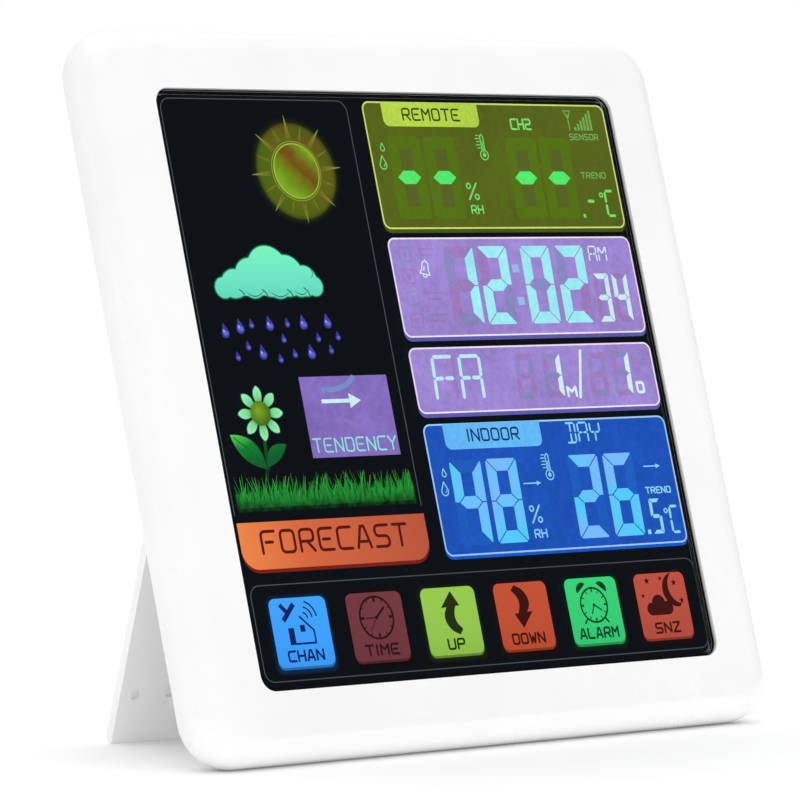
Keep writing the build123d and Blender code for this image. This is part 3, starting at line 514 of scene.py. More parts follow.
def metal(name, colour, roughness):
    """Plated or drawn metal, with fine drawing marks and a slightly uneven plating."""
    shader = Shader(name, Metallic=1.0)
    stretched = shader.node("ShaderNodeMapping")
    stretched.inputs["Scale"].default_value = (1.0, 0.12, 1.0)
    shader.link(shader.place(), stretched.inputs["Vector"])
    marks = shader.noise(900.0, 5.0, 0.65, stretched.outputs["Vector"])
    shader.set(Base_Color=shader.tones(shader.noise(120.0, 3.0, 0.5), colour, 0.86, 1.05),
               Roughness=shader.span(marks, 0.3, 0.7, roughness - 0.08, roughness + 0.12))
    shader.bump(marks, 0.25, 0.00001)
    return shader.material


def film(name, colour, roughness):
    """Plastic sheet or card, with a fine fibre and slow waves in its surface."""
    shader = Shader(name)
    slow = shader.noise(60.0, 2.0, 0.5)
    shader.set(Base_Color=shader.tones(shader.noise(1500.0, 4.0, 0.6), colour, 0.93, 1.04),
               Roughness=shader.span(slow, 0.3, 0.7, roughness - 0.05, roughness + 0.08))
    shader.bump(slow, 0.2, 0.00004)
    return shader.material


def circuit(name, colour):
    """Circuit board: solder mask over a grid of copper runs and the weave of the glass cloth."""
    shader = Shader(name, Roughness=0.35)
    runs = shader.node("ShaderNodeTexBrick")
    for socket, value in (("Scale", 230.0), ("Mortar Size", 0.09), ("Mortar Smooth", 0.2), ("Color1", colour),
                          ("Color2", shaded(colour, 0.8)), ("Mortar", shaded(colour, 1.7))):
        runs.inputs[socket].default_value = value
    shader.link(shader.place(), runs.inputs["Vector"])
    weave = shader.noise(1800.0, 2.0, 0.5)
    shader.set(Base_Color=runs.outputs["Color"], Roughness=shader.span(weave, 0.3, 0.7, 0.26, 0.44))
    shader.bump(runs.outputs["Fac"], 0.4, 0.00003)
    return shader.material


def clear(name, colour, roughness=0.02):
    """Clear sheet, such as glass: very slightly uneven, so that a reflection wavers, with blackened edges."""
    shader = Shader(name, IOR=1.5)
    smear = shader.noise(40.0, 3.0, 0.6)
    normal = shader.node("ShaderNodeNewGeometry").outputs["True Normal"]
    facing = shader.maths("ABSOLUTE", shader.vector("DOT_PRODUCT", normal, INTO, "Value"))
    flat = shader.maths("GREATER_THAN", facing, 0.8)
    shader.set(Roughness=shader.span(smear, 0.3, 0.75, roughness * 0.2, roughness), Transmission_Weight=flat,
               Specular_IOR_Level=shader.maths("MULTIPLY", flat, 0.5),
               Base_Color=shader.mixed(flat, EDGE_BLACK, colour))
    return shader.material


EDGE_BLACK = (0.006, 0.007, 0.008, 1.0)
WHITE = linear(243, 243, 243)
FINISHES = {
    "bezel_white": moulded("BezelWhite", WHITE, 0.24),
    "cover_white": moulded("CoverWhite", WHITE, 0.34),
    "stand_white": moulded("StandWhite", linear(244, 244, 244), 0.38),
    "glass_front": clear("FrontGlass", (1.0, 1.0, 1.0, 1.0)),
    "adhesive_tape": film("BlackTape", linear(12, 15, 19), 0.7),
    "flex_film": film("AmberFlex", (0.5, 0.2, 0.03, 1.0), 0.35),
    "black_plastic": moulded("BlackPlastic", (0.025, 0.025, 0.027, 1.0), 0.45),
    "lcd_glass": film("CellGlass", linear(9, 12, 16), 0.3),
    "tinted_film": film("TintedFilm", (0.2, 0.3, 0.42, 1.0), 0.3),
    "diffuser_white": film("DiffuserWhite", (0.85, 0.86, 0.87, 1.0), 0.6),
    "clear_acrylic": clear("ClearAcrylic", (0.93, 0.97, 0.98, 1.0), 0.06),
    "reflector_white": film("ReflectorWhite", (0.9, 0.9, 0.9, 1.0), 0.4),
    "white_solder_mask": circuit("WhiteMask", (0.72, 0.72, 0.7, 1.0)),
    "led_lens": moulded("LensYellow", (0.85, 0.75, 0.3, 1.0), 0.25),
    "tray_grey": moulded("TrayGrey", (0.5, 0.51, 0.52, 1.0), 0.45),
    "screw_steel": metal("ZincScrew", (0.6, 0.6, 0.61, 1.0), 0.32),
    "green_board": circuit("GreenBoard", (0.02, 0.16, 0.05, 1.0)),
    "chip_epoxy": moulded("ChipEpoxy", (0.03, 0.03, 0.033, 1.0), 0.55),
    "tinned_metal": metal("TinnedMetal", (0.68, 0.68, 0.7, 1.0), 0.28),
    "connector_ivory": moulded("ConnectorIvory", (0.72, 0.66, 0.5, 1.0), 0.4),
    "copper_wire": metal("CopperWire", (0.75, 0.32, 0.14, 1.0), 0.3),
    "capacitor_sleeve": film("CapacitorSleeve", (0.1, 0.12, 0.2, 1.0), 0.35),
    "button_grey": moulded("ButtonGrey", linear(150, 153, 157), 0.42),
    "sensor_white": moulded("SensorWhite", (0.85, 0.85, 0.84, 1.0), 0.5),
    "cell_sleeve": film("CellSleeve", (0.06, 0.12, 0.24, 1.0), 0.3),
    "nickel_plate": metal("NickelPlate", (0.7, 0.67, 0.62, 1.0), 0.24),
    "wire_red": moulded("WireRed", (0.45, 0.015, 0.012, 1.0), 0.4),
    "wire_black": moulded("WireBlack", (0.015, 0.015, 0.016, 1.0), 0.4),
    "pin_steel": metal("PinSteel", (0.58, 0.58, 0.6, 1.0), 0.25),
}
slot_of = {part["node"]: part["material_slot"] for part in frame["record"]["subparts"]}
for node_name, node_object in NODES.items():
    node_object.data.materials.clear()
    node_object.data.materials.append(FINISHES[slot_of[node_name]])

# ---- studio
HALF_FLOOR = 1.0
floor_data = bpy.data.meshes.new("StudioFloor")
floor_mesh = bmesh.new()
floor_mesh.faces.new([floor_mesh.verts.new((x * HALF_FLOOR, y * HALF_FLOOR, 0.0))
                      for x, y in ((-1, -1), (1, -1), (1, 1), (-1, 1))])
floor_mesh.to_mesh(floor_data)
floor_mesh.free()
studio_floor = bpy.data.objects.new("StudioFloor", floor_data)
scene = bpy.context.scene
scene.collection.objects.link(studio_floor)
floor_paint = Shader("StudioFloor", Roughness=0.9)
floor_paint.main.inputs["Specular IOR Level"].default_value = 0.0
floor_paint.set(Base_Color=floor_paint.ramp(floor_paint.noise(3.0, 2.0), [(0.3, (0.93, 0.93, 0.93, 1.0)),
                                                                        (0.7, (0.95, 0.95, 0.95, 1.0))]))
floor_data.materials.append(floor_paint.material)

scene.view_settings.view_transform = "Standard"
scene.view_settings.look = "None"

# The studio: a white room that lights everything evenly, dim where the glass would mirror it in front.
ROOM_LIGHT = 0.81
world = bpy.data.worlds.new("Studio")
scene.world = world
world.use_nodes = True
world.node_tree.nodes.clear()
sky = Wiring(world.node_tree)


def sky_light(strength):
    made = sky.node("ShaderNodeBackground")
    made.inputs["Color"].default_value = (1.0, 1.0, 1.0, 1.0)
    made.inputs["Strength"].default_value = strength
    return made.outputs[0]


def sky_mix(factor, first, second):
    made = sky.node("ShaderNodeMixShader")
    sky.feed(made.inputs, (factor, first, second))
    return made.outputs[0]


rays_of = sky.node("ShaderNodeLightPath").outputs
apart = sky.node("ShaderNodeSeparateXYZ")
sky.link(sky.node("ShaderNodeTexCoord").outputs["Generated"], apart.inputs[0])
overhead = sky.span(apart.outputs["Z"], 0.62, 0.95, interpolation_type="SMOOTHSTEP")
behind = sky.span(apart.outputs["Y"], -0.15, 0.5, 0.0, 0.75, interpolation_type="SMOOTHSTEP")
mirrored_room = sky_mix(sky.maths("MAXIMUM", overhead, behind), sky_light(0.03), sky_light(1.1))
mirrored = sky.maths("MAXIMUM", rays_of["Is Glossy Ray"], rays_of["Is Transmission Ray"])
room = sky_mix(mirrored, sky_light(ROOM_LIGHT), mirrored_room)
seen = sky_mix(rays_of["Is Camera Ray"], room, sky_light(1.0))
sky.link(seen, sky.node("ShaderNodeOutputWorld").inputs["Surface"])


def softbox(name, place, size, power, casts=True):
    """A rectangular lamp that looks at the middle of the console."""
    data = bpy.data.lights.new(name, "AREA")
    data.shape = "RECTANGLE"
    data.size, data.size_y = size
    data.energy = power
    data.use_shadow = casts
    lamp = bpy.data.objects.new(name, data)
    lamp.location = place
    lamp.rotation_euler = (MIDDLE - Vector(place)).to_track_quat("-Z", "Y").to_euler()
    lamp.visible_glossy = lamp.visible_transmission = False
    scene.collection.objects.link(lamp)


MIDDLE = Vector((0.0, 0.0, 0.09))
softbox("KeyLight", (0.4, -1.9, 1.2), (1.2, 1.2), 1.0)
softbox("TopLight", (0.0, 0.2, 2.0), (3.0, 3.0), 24.0)
softbox("BackLight", (0.3, 1.8, 1.2), (1.4, 1.0), 2.2)
# What a white table throws back up under the housing.
softbox("TableBounce", (-0.6, -1.8, -0.6), (1.2, 1.2), 9.0, casts=False)

camera_data = bpy.data.cameras.new("Camera")
camera_data.lens = 219.3
camera_data.sensor_width = 36.0
camera = bpy.data.objects.new("Camera", camera_data)
camera.location = (-0.8078, -0.9466, 0.1366)
camera.rotation_euler = Vector((0.64673, 0.76164, -0.04048)).to_track_quat("-Z", "Y").to_euler()
scene.collection.objects.link(camera)
scene.camera = camera


# ---- display materials
DARK_SCREEN = (7, 12, 17)
DARK = linear(*DARK_SCREEN)
DOWN = -UP


def fading(name, x0, y0, x1, y1, reach, colour, share):
    """A soft glow round a box of the panel, that sinks into the dark ground."""
    shader = Shader(name, Roughness=0.5)
    middle = on_panel((x0 + x1) / 2, (y0 + y1) / 2, GLOW)
    offset = shader.vector("SUBTRACT", shader.place(), middle, 0)
    squares = []
    for direction, half in ((RIGHT, (x1 - x0) / 2), (UP, (y1 - y0) / 2)):
        side = shader.maths("ABSOLUTE", shader.vector("DOT_PRODUCT", offset, direction, "Value"))
        beyond = shader.maths("MAXIMUM", shader.maths("SUBTRACT", side, half * MM), 0.0)
        squares.append(shader.maths("MULTIPLY", beyond, beyond))
    gap = shader.maths("SQRT", shader.maths("ADD", *squares))
    grainy = shader.maths("ADD", gap, shader.maths("MULTIPLY", shader.noise(700.0, 3.0), 0.0006))
    near = shader.span(grainy, 0.0003, reach * MM)
    fade = [(0.0, shaded(colour, share)), (0.35, shaded(colour, share * 0.35)), (1.0, DARK)]
    return glowing(shader, shader.ramp(near, fade))


def sloped(name, colours, direction, start, length, grain=900.0, wobble=0.12):
    """A colour that changes along a direction of the panel, over a length in millimetres."""
    shader = Shader(name, Roughness=0.5)
    where = shader.along(direction, on_panel(*start, LIT), length)
    where = shader.wavering(where, shader.noise(grain, 4.0, 0.65), wobble)
    return glowing(shader, shader.ramp(where, colours))


def round_shade(name, centre, radius, colours, grain=700.0, wobble=0.1):
    """A colour that changes with the distance from a point of the panel."""
    shader = Shader(name, Roughness=0.5)
    where = shader.span(shader.away(on_panel(*centre, LIT)), 0.0, radius * MM)
    where = shader.wavering(where, shader.noise(grain, 4.0, 0.65), wobble)
    return glowing(shader, shader.ramp(where, colours))


def title(name):
    return "".join(word.title() for word in name.split("_"))


# The plain inks: a screen colour, then the variation, grain and patches that differ from backlit's own.
INK = {name: backlit(title(name), linear(*colour), *texture) for name, colour, *texture in (
    ("ground", DARK_SCREEN, 0.03, 300.0, 12.0),
    ("frame_line", (72, 80, 84)),
    ("olive", (86, 100, 26), 0.05, 500.0, 60.0),
    ("olive_border", (205, 225, 120)),
    ("olive_lip", (70, 82, 20)),
    ("olive_ghost", (84, 114, 18), 0.03),
    ("olive_faint", (86, 106, 22), 0.03),
    ("olive_counter", (86, 98, 36), 0.03),
    ("tab_lime", (182, 217, 74)),
    ("tab_lime_text", (62, 70, 18)),
    ("remote_lit", (84, 236, 112)),
    ("remote_icon", (120, 225, 110)),
    ("remote_dim", (116, 174, 84)),
    ("violet", (156, 134, 208), 0.07, 450.0, 70.0),
    ("violet_border", (238, 226, 250)),
    ("violet_lip", (92, 90, 168)),
    ("violet_ghost", (156, 124, 188), 0.05, 450.0, 70.0),
    ("violet_ghost_cool", (138, 136, 192), 0.05, 450.0, 70.0),
    ("clock_lit", (158, 236, 250), 0.05, 500.0, 90.0),
    ("clock_pale", (186, 232, 248), 0.05),
    ("clock_small", (208, 238, 252), 0.05),
    ("clock_dim", (150, 188, 228), 0.05),
    ("blue", (28, 82, 184), 0.07, 500.0, 80.0),
    ("blue_border", (160, 205, 250)),
    ("blue_lip", (16, 90, 200)),
    ("blue_ghost", (30, 92, 190), 0.05),
    ("tab_blue", (98, 184, 255)),
    ("tab_blue_text", (22, 48, 110)),
    ("indoor_small", (140, 212, 255)),
    ("sun_rings", (136, 158, 54)),
    ("sun_edge", (158, 186, 66)),
    ("cloud_glow", (10, 70, 52), 0.05),
    ("cloud_rim", (56, 176, 130), 0.05),
    ("cloud_fold", (14, 76, 60)),
    ("rain", (56, 60, 156), 0.09, 700.0, 300.0),
    ("rain_shine", (92, 106, 204), 0.08),
    ("rain_glint", (150, 164, 240), 0.05),
    ("petal_rim", (50, 140, 90)),
    ("petal_fold", (120, 206, 130)),
    ("leaf_rib", (14, 96, 46)),
    ("tendency", (130, 108, 186), 0.07, 450.0, 70.0),
    ("tendency_ghost", (116, 142, 196), 0.05),
    ("tendency_ghost_low", (146, 114, 192), 0.05),
    ("tendency_arrow", (206, 244, 250)),
    ("tendency_text", (140, 226, 216)),
    ("forecast_lip", (120, 32, 22)),
    ("forecast_text", (88, 22, 12)),
)}
INK["indoor_lit"] = mottled("IndoorLit", linear(84, 204, 250), linear(120, 188, 255))


def panel(name, y0, y1, ink, lip=1.0):
    """One window of the display: its coloured field, a bright border and the darker lip under it."""
    x0, x1, radius, line = 66.3, 150.0, 2.3, 0.42
    outer = rounded(x0, y0, x1, y1, radius)
    inner = rounded(x0 + line, y0 + line, x1 - line, y1 - line, radius - line)
    drawn(name + "_lip", [rounded(x0, y1 - 4.0, x1, y1 + lip, radius, "br bl")], ink + "_lip", GLOW)
    drawn(name + "_field", [outer], ink, FILL)
    drawn(name + "_border", [outer], ink + "_border", LIT, cuts=[inner])


def teardrop(cx, cy, wide, high, lean=0.0):
    """A drop with its point up, about its middle."""
    radius = wide / 2
    bottom = cy + high / 2 - radius
    points = [(cx, cy - high / 2)] + arc(cx, bottom, radius, -35, 215, 16)
    return turned(points, cx, cy, lean)


def outlined(points, pen):
    return stroke(points, pen, closed=True)


# ---- the ground and the frame lines
EDGE = 0.95
FAR = SIDE - EDGE
ground = rounded(EDGE - PRINT_RIGHT, EDGE + PRINT_UP, FAR - PRINT_RIGHT, FAR + PRINT_UP, 3.2)
drawn("display_ground", [ground], "ground", GROUND)
left_frame = arc(4.5, 5.5, 3.0, 180, 270, 8) + arc(58.2, 5.5, 3.0, 270, 360, 8)
left_frame = [(1.5, 108.6)] + left_frame + [(61.2, 108.6)]
drawn("frame_lines", stroke(left_frame, 0.25), "frame_line", GLOW)
drawn("key_strip_line", [rounded(1.8, 126.2, 150.4, 150.4, 3.0)], "frame_line", GLOW,
      cuts=[rounded(2.05, 126.45, 150.15, 150.15, 2.75)])

# ---- the sun
SUN = (40.9, 21.2)
SUN_RIM = 12.9
LONG_RAYS, RAY_TURN = 8, -94
sun_x, sun_y = SUN


def sun_slope(shader, reach, length, noise, wobble):
    """0 to 1 across the sun, up to the right, from a place to its lower left."""
    start = on_panel(sun_x - reach, sun_y + reach, GLOW)
    return shader.wavering(shader.along((RIGHT + UP).normalized(), start, length), noise, wobble)


def ring(name, radius, inner, ink, depth):
    drawn(name, [disc(*SUN, radius, 64)], ink, depth, cuts=[disc(*SUN, inner, 64)])


def grey(value):
    return (value, value, value, 1.0)


ring_shader = Shader("SunRing", Roughness=0.5)
ring_slope = sun_slope(ring_shader, 9, 26, ring_shader.noise(190.0, 3.0), 1.1)
ring_hue = ring_shader.ramp(ring_slope, stops((0.15, 82, 106, 16), (0.5, 96, 104, 20), (0.75, 104, 90, 24),
                                              (1.0, 82, 100, 18)))
ring_reach = ring_shader.span(ring_shader.away(on_panel(*SUN, GLOW)), 0.0, SUN_RIM * MM)
ring_fade = ring_shader.ramp(ring_reach, [(0.5, grey(1.0)), (0.9, grey(0.85)), (0.965, grey(0.45)),
                                          (1.0, grey(0.05))])
glowing(ring_shader, ring_shader.mixed(ring_fade, DARK, ring_hue))
drawn("sun_ring", [disc(*SUN, SUN_RIM, 72)], ring_shader.material, FILL)
drawn("sun_glow", [disc(*SUN, 14.4, 72)],
      round_shade("SunGlow", SUN, 14.4, stops((0.87, 34, 42, 12), (0.94, 16, 22, 16), (1.0, *DARK_SCREEN)),
                  wobble=0.02), GLOW)

rays = []
for step in range(LONG_RAYS * 2):
    angle = RAY_TURN + step * 360 / (LONG_RAYS * 2)
    across, along = math.cos(math.radians(angle)), math.sin(math.radians(angle))
    reach, foot = (14.8, 0.8) if step % 2 == 0 else (12.6, 0.4)
    reach -= 1.1 * max(0.0, along)
    base = turned([(sun_x + 8.4, sun_y - foot), (sun_x + 8.4, sun_y + foot)], *SUN, angle)
    rays.append([base[0], (sun_x + reach * across, sun_y + reach * along), base[1]])
ray_hues = stops((0.55, 104, 104, 28), (0.8, 120, 126, 52), (0.95, 140, 146, 80))
drawn("sun_rays", rays, round_shade("SunRays", SUN, 15.0, ray_hues), GHOST)

face_shader = Shader("SunFace", Roughness=0.5)
face_slope = sun_slope(face_shader, 5, 14, face_shader.noise(260.0, 4.0, 0.6), 0.34)
glowing(face_shader, face_shader.ramp(face_slope, stops(
    (0.0, 136, 172, 36), (0.24, 112, 154, 28), (0.42, 112, 118, 22), (0.58, 112, 78, 22), (0.74, 112, 92, 22),
    (0.9, 112, 136, 28), (1.0, 128, 160, 36))))
drawn("sun_face", [disc(*SUN, 7.1, 64)], face_shader.material, LIT)
ring("sun_face_rings", 7.9, 7.68, "sun_rings", GHOST - 0.02)
ring("sun_face_edge", 7.32, 7.0, "sun_edge", PRINT)

# ---- the cloud and the rain
CLOUD_BUMPS = ((26.0, 47.2, 6.5), (20.3, 48.8, 5.0), (31.6, 48.4, 5.3), (14.8, 50.2, 3.6), (37.0, 49.8, 3.9),
               (11.0, 51.3, 2.6), (39.9, 51.2, 2.5), (14.2, 50.4, 3.5), (20.4, 50.3, 3.7), (28.4, 50.2, 4.0),
               (35.2, 50.6, 3.2))
CLOUD_BODY = rect(11.0, 48.6, 40.0, 53.4)


def cloud(swell):
    return [disc(x, y, radius + swell, 40) for x, y, radius in CLOUD_BUMPS] + [CLOUD_BODY]


drawn("cloud_glow", cloud(0.5), "cloud_glow", GLOW)
drawn("cloud_rim", cloud(0.2), "cloud_rim", FILL)
cloud_hues = stops((0.0, 120, 246, 190), (0.5, 112, 232, 198), (1.0, 96, 214, 188))
drawn("cloud", cloud(0.0), sloped("Cloud", cloud_hues, DOWN, (26, 41), 14), GHOST)
scallops = []
for left, right, sag in ((17.0, 23.8, 1.5), (24.6, 32.4, 1.7), (32.8, 37.8, 1.2)):
    bow = [math.sin(math.pi * t / 10) for t in range(11)]
    upper = [(left + (right - left) * t / 10, 52.0 + sag * bow[t]) for t in range(11)]
    lower = [(x, y + 0.24 * bow[t]) for t, (x, y) in enumerate(upper)]
    scallops.append(upper + lower[::-1][1:-1])
scallops += stroke(arc(38.4, 47.8, 1.5, -40, 50, 8), 0.16)
for x, y in ((17.2, 53.8), (24.4, 53.9), (32.4, 54.0), (37.8, 53.6)):
    scallops += stroke(softened([(x, y), (x - 0.3, y - 1.1), (x - 1.5, y - 2.0)], 0.8), 0.26)
drawn("cloud_folds", scallops, "cloud_fold", LIT)

BIG_DROPS = ((8.9, 62.1), (13.8, 61.1), (23.2, 60.5), (34.0, 60.4), (41.8, 60.2), (19.5, 67.8), (34.9, 68.0))
SMALL_DROPS = ((17.5, 60.5), (28.9, 60.4), (26.9, 64.4), (38.0, 64.4), (44.4, 64.1), (15.3, 66.1),
               (11.5, 68.7), (24.8, 69.5), (29.6, 68.3), (41.4, 67.5))
drops = [teardrop(x, y, 2.5, 4.0, -6) for x, y in BIG_DROPS]
drops += [teardrop(x, y, 1.6, 2.6, -6) for x, y in SMALL_DROPS]
shines = [disc(x + 0.15, y + 0.75, 0.8, 20, 0.8) for x, y in BIG_DROPS]
shines += [disc(x + 0.1, y + 0.5, 0.48, 16, 0.8) for x, y in SMALL_DROPS]
drawn("rain_drops", drops, "rain", FILL)
drawn("rain_shines", shines, "rain_shine", GHOST)
drawn("rain_glints", [disc(x - 0.4, y + 0.2, 0.3, 12, 1.5) for x, y in BIG_DROPS], "rain_glint", LIT)

# ---- the flower and the grass
FLOWER = (15.2, 83.4)
PETALS = 8
flower_x, flower_y = FLOWER


def petal(swell):
    """A petal to the right of the flower's heart, pointed at its tip."""
    side = [(2.0, 0.5), (3.3, 0.95), (4.6, 1.3), (5.7, 1.15), (6.5, 0.6)]
    outline = side + [(7.0, 0.0)] + [(x, -y) for x, y in side[::-1]]
    outline = softened(outline + outline[:1], 0.7)[:-1]
    grow = 1.0 + swell
    return [(flower_x + 4.4 + (x - 4.4) * grow, flower_y + y * grow) for x, y in outline]


def round_flower(outline):
    """An outline once for each petal."""
    return [turned(outline, *FLOWER, step * 360 / PETALS - 90) for step in range(PETALS)]


drawn("flower_rim", round_flower(petal(0.1)), "petal_rim", GHOST)
petal_hues = stops((0.4, 84, 168, 100), (0.62, 130, 222, 156), (1.0, 158, 238, 186))
drawn("flower_petals", round_flower(petal(0.0)), round_shade("Petals", FLOWER, 7.0, petal_hues), LIT)
drawn("flower_petal_folds", round_flower(quad((flower_x + 3.0, flower_y), (flower_x + 5.6, flower_y), 0.16)),
      "petal_fold", PRINT)
drawn("flower_heart", [disc(*FLOWER, 3.15, 36)],
      round_shade("FlowerHeart", (flower_x - 0.6, flower_y - 0.6), 4.2,
                  stops((0.0, 128, 164, 44), (0.5, 96, 134, 30), (1.0, 56, 96, 20)), 2600.0, 0.5), PRINT)
stem = [(15.1, 89.5), (14.9, 92.0), (14.6, 94.6), (14.2, 97.0), (13.6, 100.4)]
drawn("flower_stem", stroke(stem, 1.0) + stroke([(17.8, 95.4), (15.4, 96.6), (14.2, 98.6)], 0.5),
      sloped("Stem", stops((0.0, 20, 84, 36), (1.0, 8, 46, 24)), DOWN, (15, 89), 10), FILL)


def leaf(root, tip, first_belly, second_belly):
    """A pointed leaf between two points, bowed out by a belly on each side."""
    (rx, ry), (tx, ty) = root, tip

    def bowed(t, belly):
        out = belly * math.sin(math.pi * t / 10) ** 0.85
        return (rx + (tx - rx) * t / 10 + (ry - ty) * out, ry + (ty - ry) * t / 10 + (tx - rx) * out)
    return [bowed(t, first_belly) for t in range(11)] + [bowed(t, second_belly) for t in range(9, 0, -1)]


leaves = [leaf((14.2, 97.4), (4.5, 88.5), -0.17, 0.24), leaf((14.4, 96.9), (21.5, 91.4), -0.28, 0.14)]
ribs = stroke([(14.2, 97.4), (9.6, 92.4), (5.4, 89.2)], 0.26)
ribs += stroke([(14.4, 96.9), (17.4, 94.4), (20.9, 91.8)], 0.22)
drawn("flower_leaves", leaves,
      sloped("Leaf", stops((0.0, 90, 214, 88), (0.45, 18, 126, 48), (1.0, 14, 92, 44)),
             (DOWN + RIGHT * 0.3).normalized(), (5, 88), 10, 500.0, 0.3), GHOST)
drawn("flower_leaf_ribs", ribs, "leaf_rib", LIT)

GRASS_LEFT, GRASS_RIGHT, GRASS_BASE = 2.9, 59.8, 108.0
random.seed(7)


def grass(name, depth, count, low, high, wide, colours, bed=()):
    """Blades with their roots on a line, each leaning and tapering its own way, lit from their tips down."""
    shapes = []
    for step in range(count):
        x = GRASS_LEFT + wide + (GRASS_RIGHT - GRASS_LEFT - 2 * wide) * (step + random.random()) / count
        tall = random.uniform(low, high)
        lean = random.uniform(-2.6, 2.6) * tall / high
        tip_x = min(max(x + lean, GRASS_LEFT), GRASS_RIGHT)
        bend_x = x + (tip_x - x) * 0.25
        half = wide * random.uniform(0.5, 1.0)
        shapes.append([(x - half, GRASS_BASE - 1.0), (bend_x - half * 0.8, GRASS_BASE - tall * 0.55),
                       (tip_x, GRASS_BASE - tall), (bend_x + half * 0.8, GRASS_BASE - tall * 0.5),
                       (x + half, GRASS_BASE - 1.0)])
    tip, body, root = (linear(*colour) for colour in colours)
    fade = [(0.0, tip), (0.35, body), (0.72, shaded(body, 0.55)), (1.0, root)]
    material = sloped(title(name), fade, DOWN, (30, GRASS_BASE - 10.5), 10.5, 420.0, 0.5)
    drawn(name, shapes + list(bed), material, depth)


grass("grass_far", FILL, 120, 4.8, 9.8, 0.42, ((70, 150, 60), (24, 122, 40), (5, 26, 14)),
      [rect(GRASS_LEFT, GRASS_BASE - 4.6, GRASS_RIGHT, GRASS_BASE)])
grass("grass_middle", GHOST, 92, 4.2, 9.0, 0.5, ((146, 222, 96), (42, 152, 56), (6, 34, 18)))
grass("grass_near", LIT, 76, 3.2, 7.0, 0.56, ((120, 220, 100), (40, 172, 66), (6, 38, 18)))

# ---- the tendency window
drawn("tendency_field", [rect(29.3, 74.5, 57.6, 95.2)], "tendency", FILL)
curved_arrow = [(36.0, 78.0), (40.2, 77.9), (44.0, 77.0), (46.4, 75.2), (46.9, 74.6)]
drawn("tendency_ghost", stroke(curved_arrow, 1.3, round_ends=False), "tendency_ghost", GHOST)
drawn("tendency_ghost_low", stroke([(38.4, 85.6), (42.6, 86.2), (46.6, 88.4)], 1.0, round_ends=False),
      "tendency_ghost_low", GHOST)
drawn("tendency_arrow", [rect(35.2, 80.4, 44.9, 81.4), [(44.2, 79.0), (47.9, 80.9), (44.2, 82.8)]],
      "tendency_arrow", LIT)
drawn("tendency_text", lettering("TENDENCY", 29.9, 90.2, 57.0, 94.0, 0.42), "tendency_text", LIT)

# ---- the forecast label
drawn("forecast_lip", [rounded(1.6, 112.0, 61.4, 123.3, 5.0, "br bl")], "forecast_lip", GLOW)
forecast_hues = stops((0.0, 238, 134, 74), (0.35, 212, 102, 64), (1.0, 184, 86, 60))
drawn("forecast_field", [rounded(1.6, 110.6, 61.4, 122.4, 4.9, "br bl")],
      sloped("Forecast", forecast_hues, RIGHT, (1.6, 116), 60), FILL)
drawn("forecast_text", lettering("FORECAST", 7.9, 112.6, 55.1, 118.8, 0.78), "forecast_text", GHOST)

# ---- small signs that several windows share
def drops_sign(x, y):
    """Two outlined drops, a small one over a larger one, for humidity."""
    shine = [(x + 0.1, y + 1.05), (x + 0.55, y + 0.7), (x + 0.6, y + 0.3)]
    return (outlined(teardrop(x + 0.7, y - 4.1, 1.3, 2.1), 0.26) + outlined(teardrop(x, y, 2.2, 3.6), 0.3)
            + stroke(shine, 0.22))


def thermometer_sign(x, y):
    """A thermometer with its scale to the left; x and y are the middle of the bulb."""
    bulb = arc(x, y, 1.3, -68, 248, 20)
    tube = [bulb[0], (x + 0.5, y - 5.1), (x, y - 5.6), (x - 0.5, y - 5.1), bulb[-1]]
    shapes = stroke(bulb, 0.3) + stroke(tube, 0.3) + [disc(x, y, 0.55, 16)]
    shapes += stroke([(x, y), (x, y - 3.6)], 0.24)
    for step in range(5):
        left, level = x - (2.2 if step % 2 else 1.8), y - 1.9 - step * 0.85
        shapes += stroke([(left, level), (x - 0.95, level)], 0.26)
    return shapes


def percent_sign(x, y, wide, high):
    shapes = []
    for share in (0.2, 0.8):
        shapes += outlined(disc(x + wide * share, y + high * share, wide * 0.17, 16), 0.4)
    return shapes + stroke([(x + wide * 0.1, y + high * 0.94), (x + wide * 0.9, y + high * 0.06)], 0.5)


def degree_sign(x, y, wide, high):
    """A small ring and a C in thin segments."""
    left, weight = x + wide * 0.42, 0.72
    corners = [(x + wide, y), (left, y), (left - 0.05, y + high / 2), (left - 0.1, y + high),
               (x + wide - 0.2, y + high)]
    c_shape = [bar(corners[1], corners[0], weight)]
    c_shape += [bar(p, q, weight) for p, q in zip(corners[1:], corners[2:])]
    return c_shape + outlined(disc(x + wide * 0.13, y + high * 0.16, 0.55, 16), 0.36)


def arrow_sign(x0, x1, y, pen=0.3, head=1.1):
    barb = x1 - head * 1.4
    point = [(barb, y - head * 0.55), (x1, y), (barb, y + head * 0.55)]
    return stroke([(x0, y), (x1 - head, y)], pen) + [point]


def tab(name, word, ink, field, text):
    """A window's name on a tab that hangs from its top edge."""
    drawn(name, [rounded(*field, 1.9, "br bl")], ink, PRINT)
    drawn(name + "_text", lettering(word, *text, 0.5), ink + "_text", TOP)


SEGMENTS = LIT - 0.01       # the depth of the lit segments

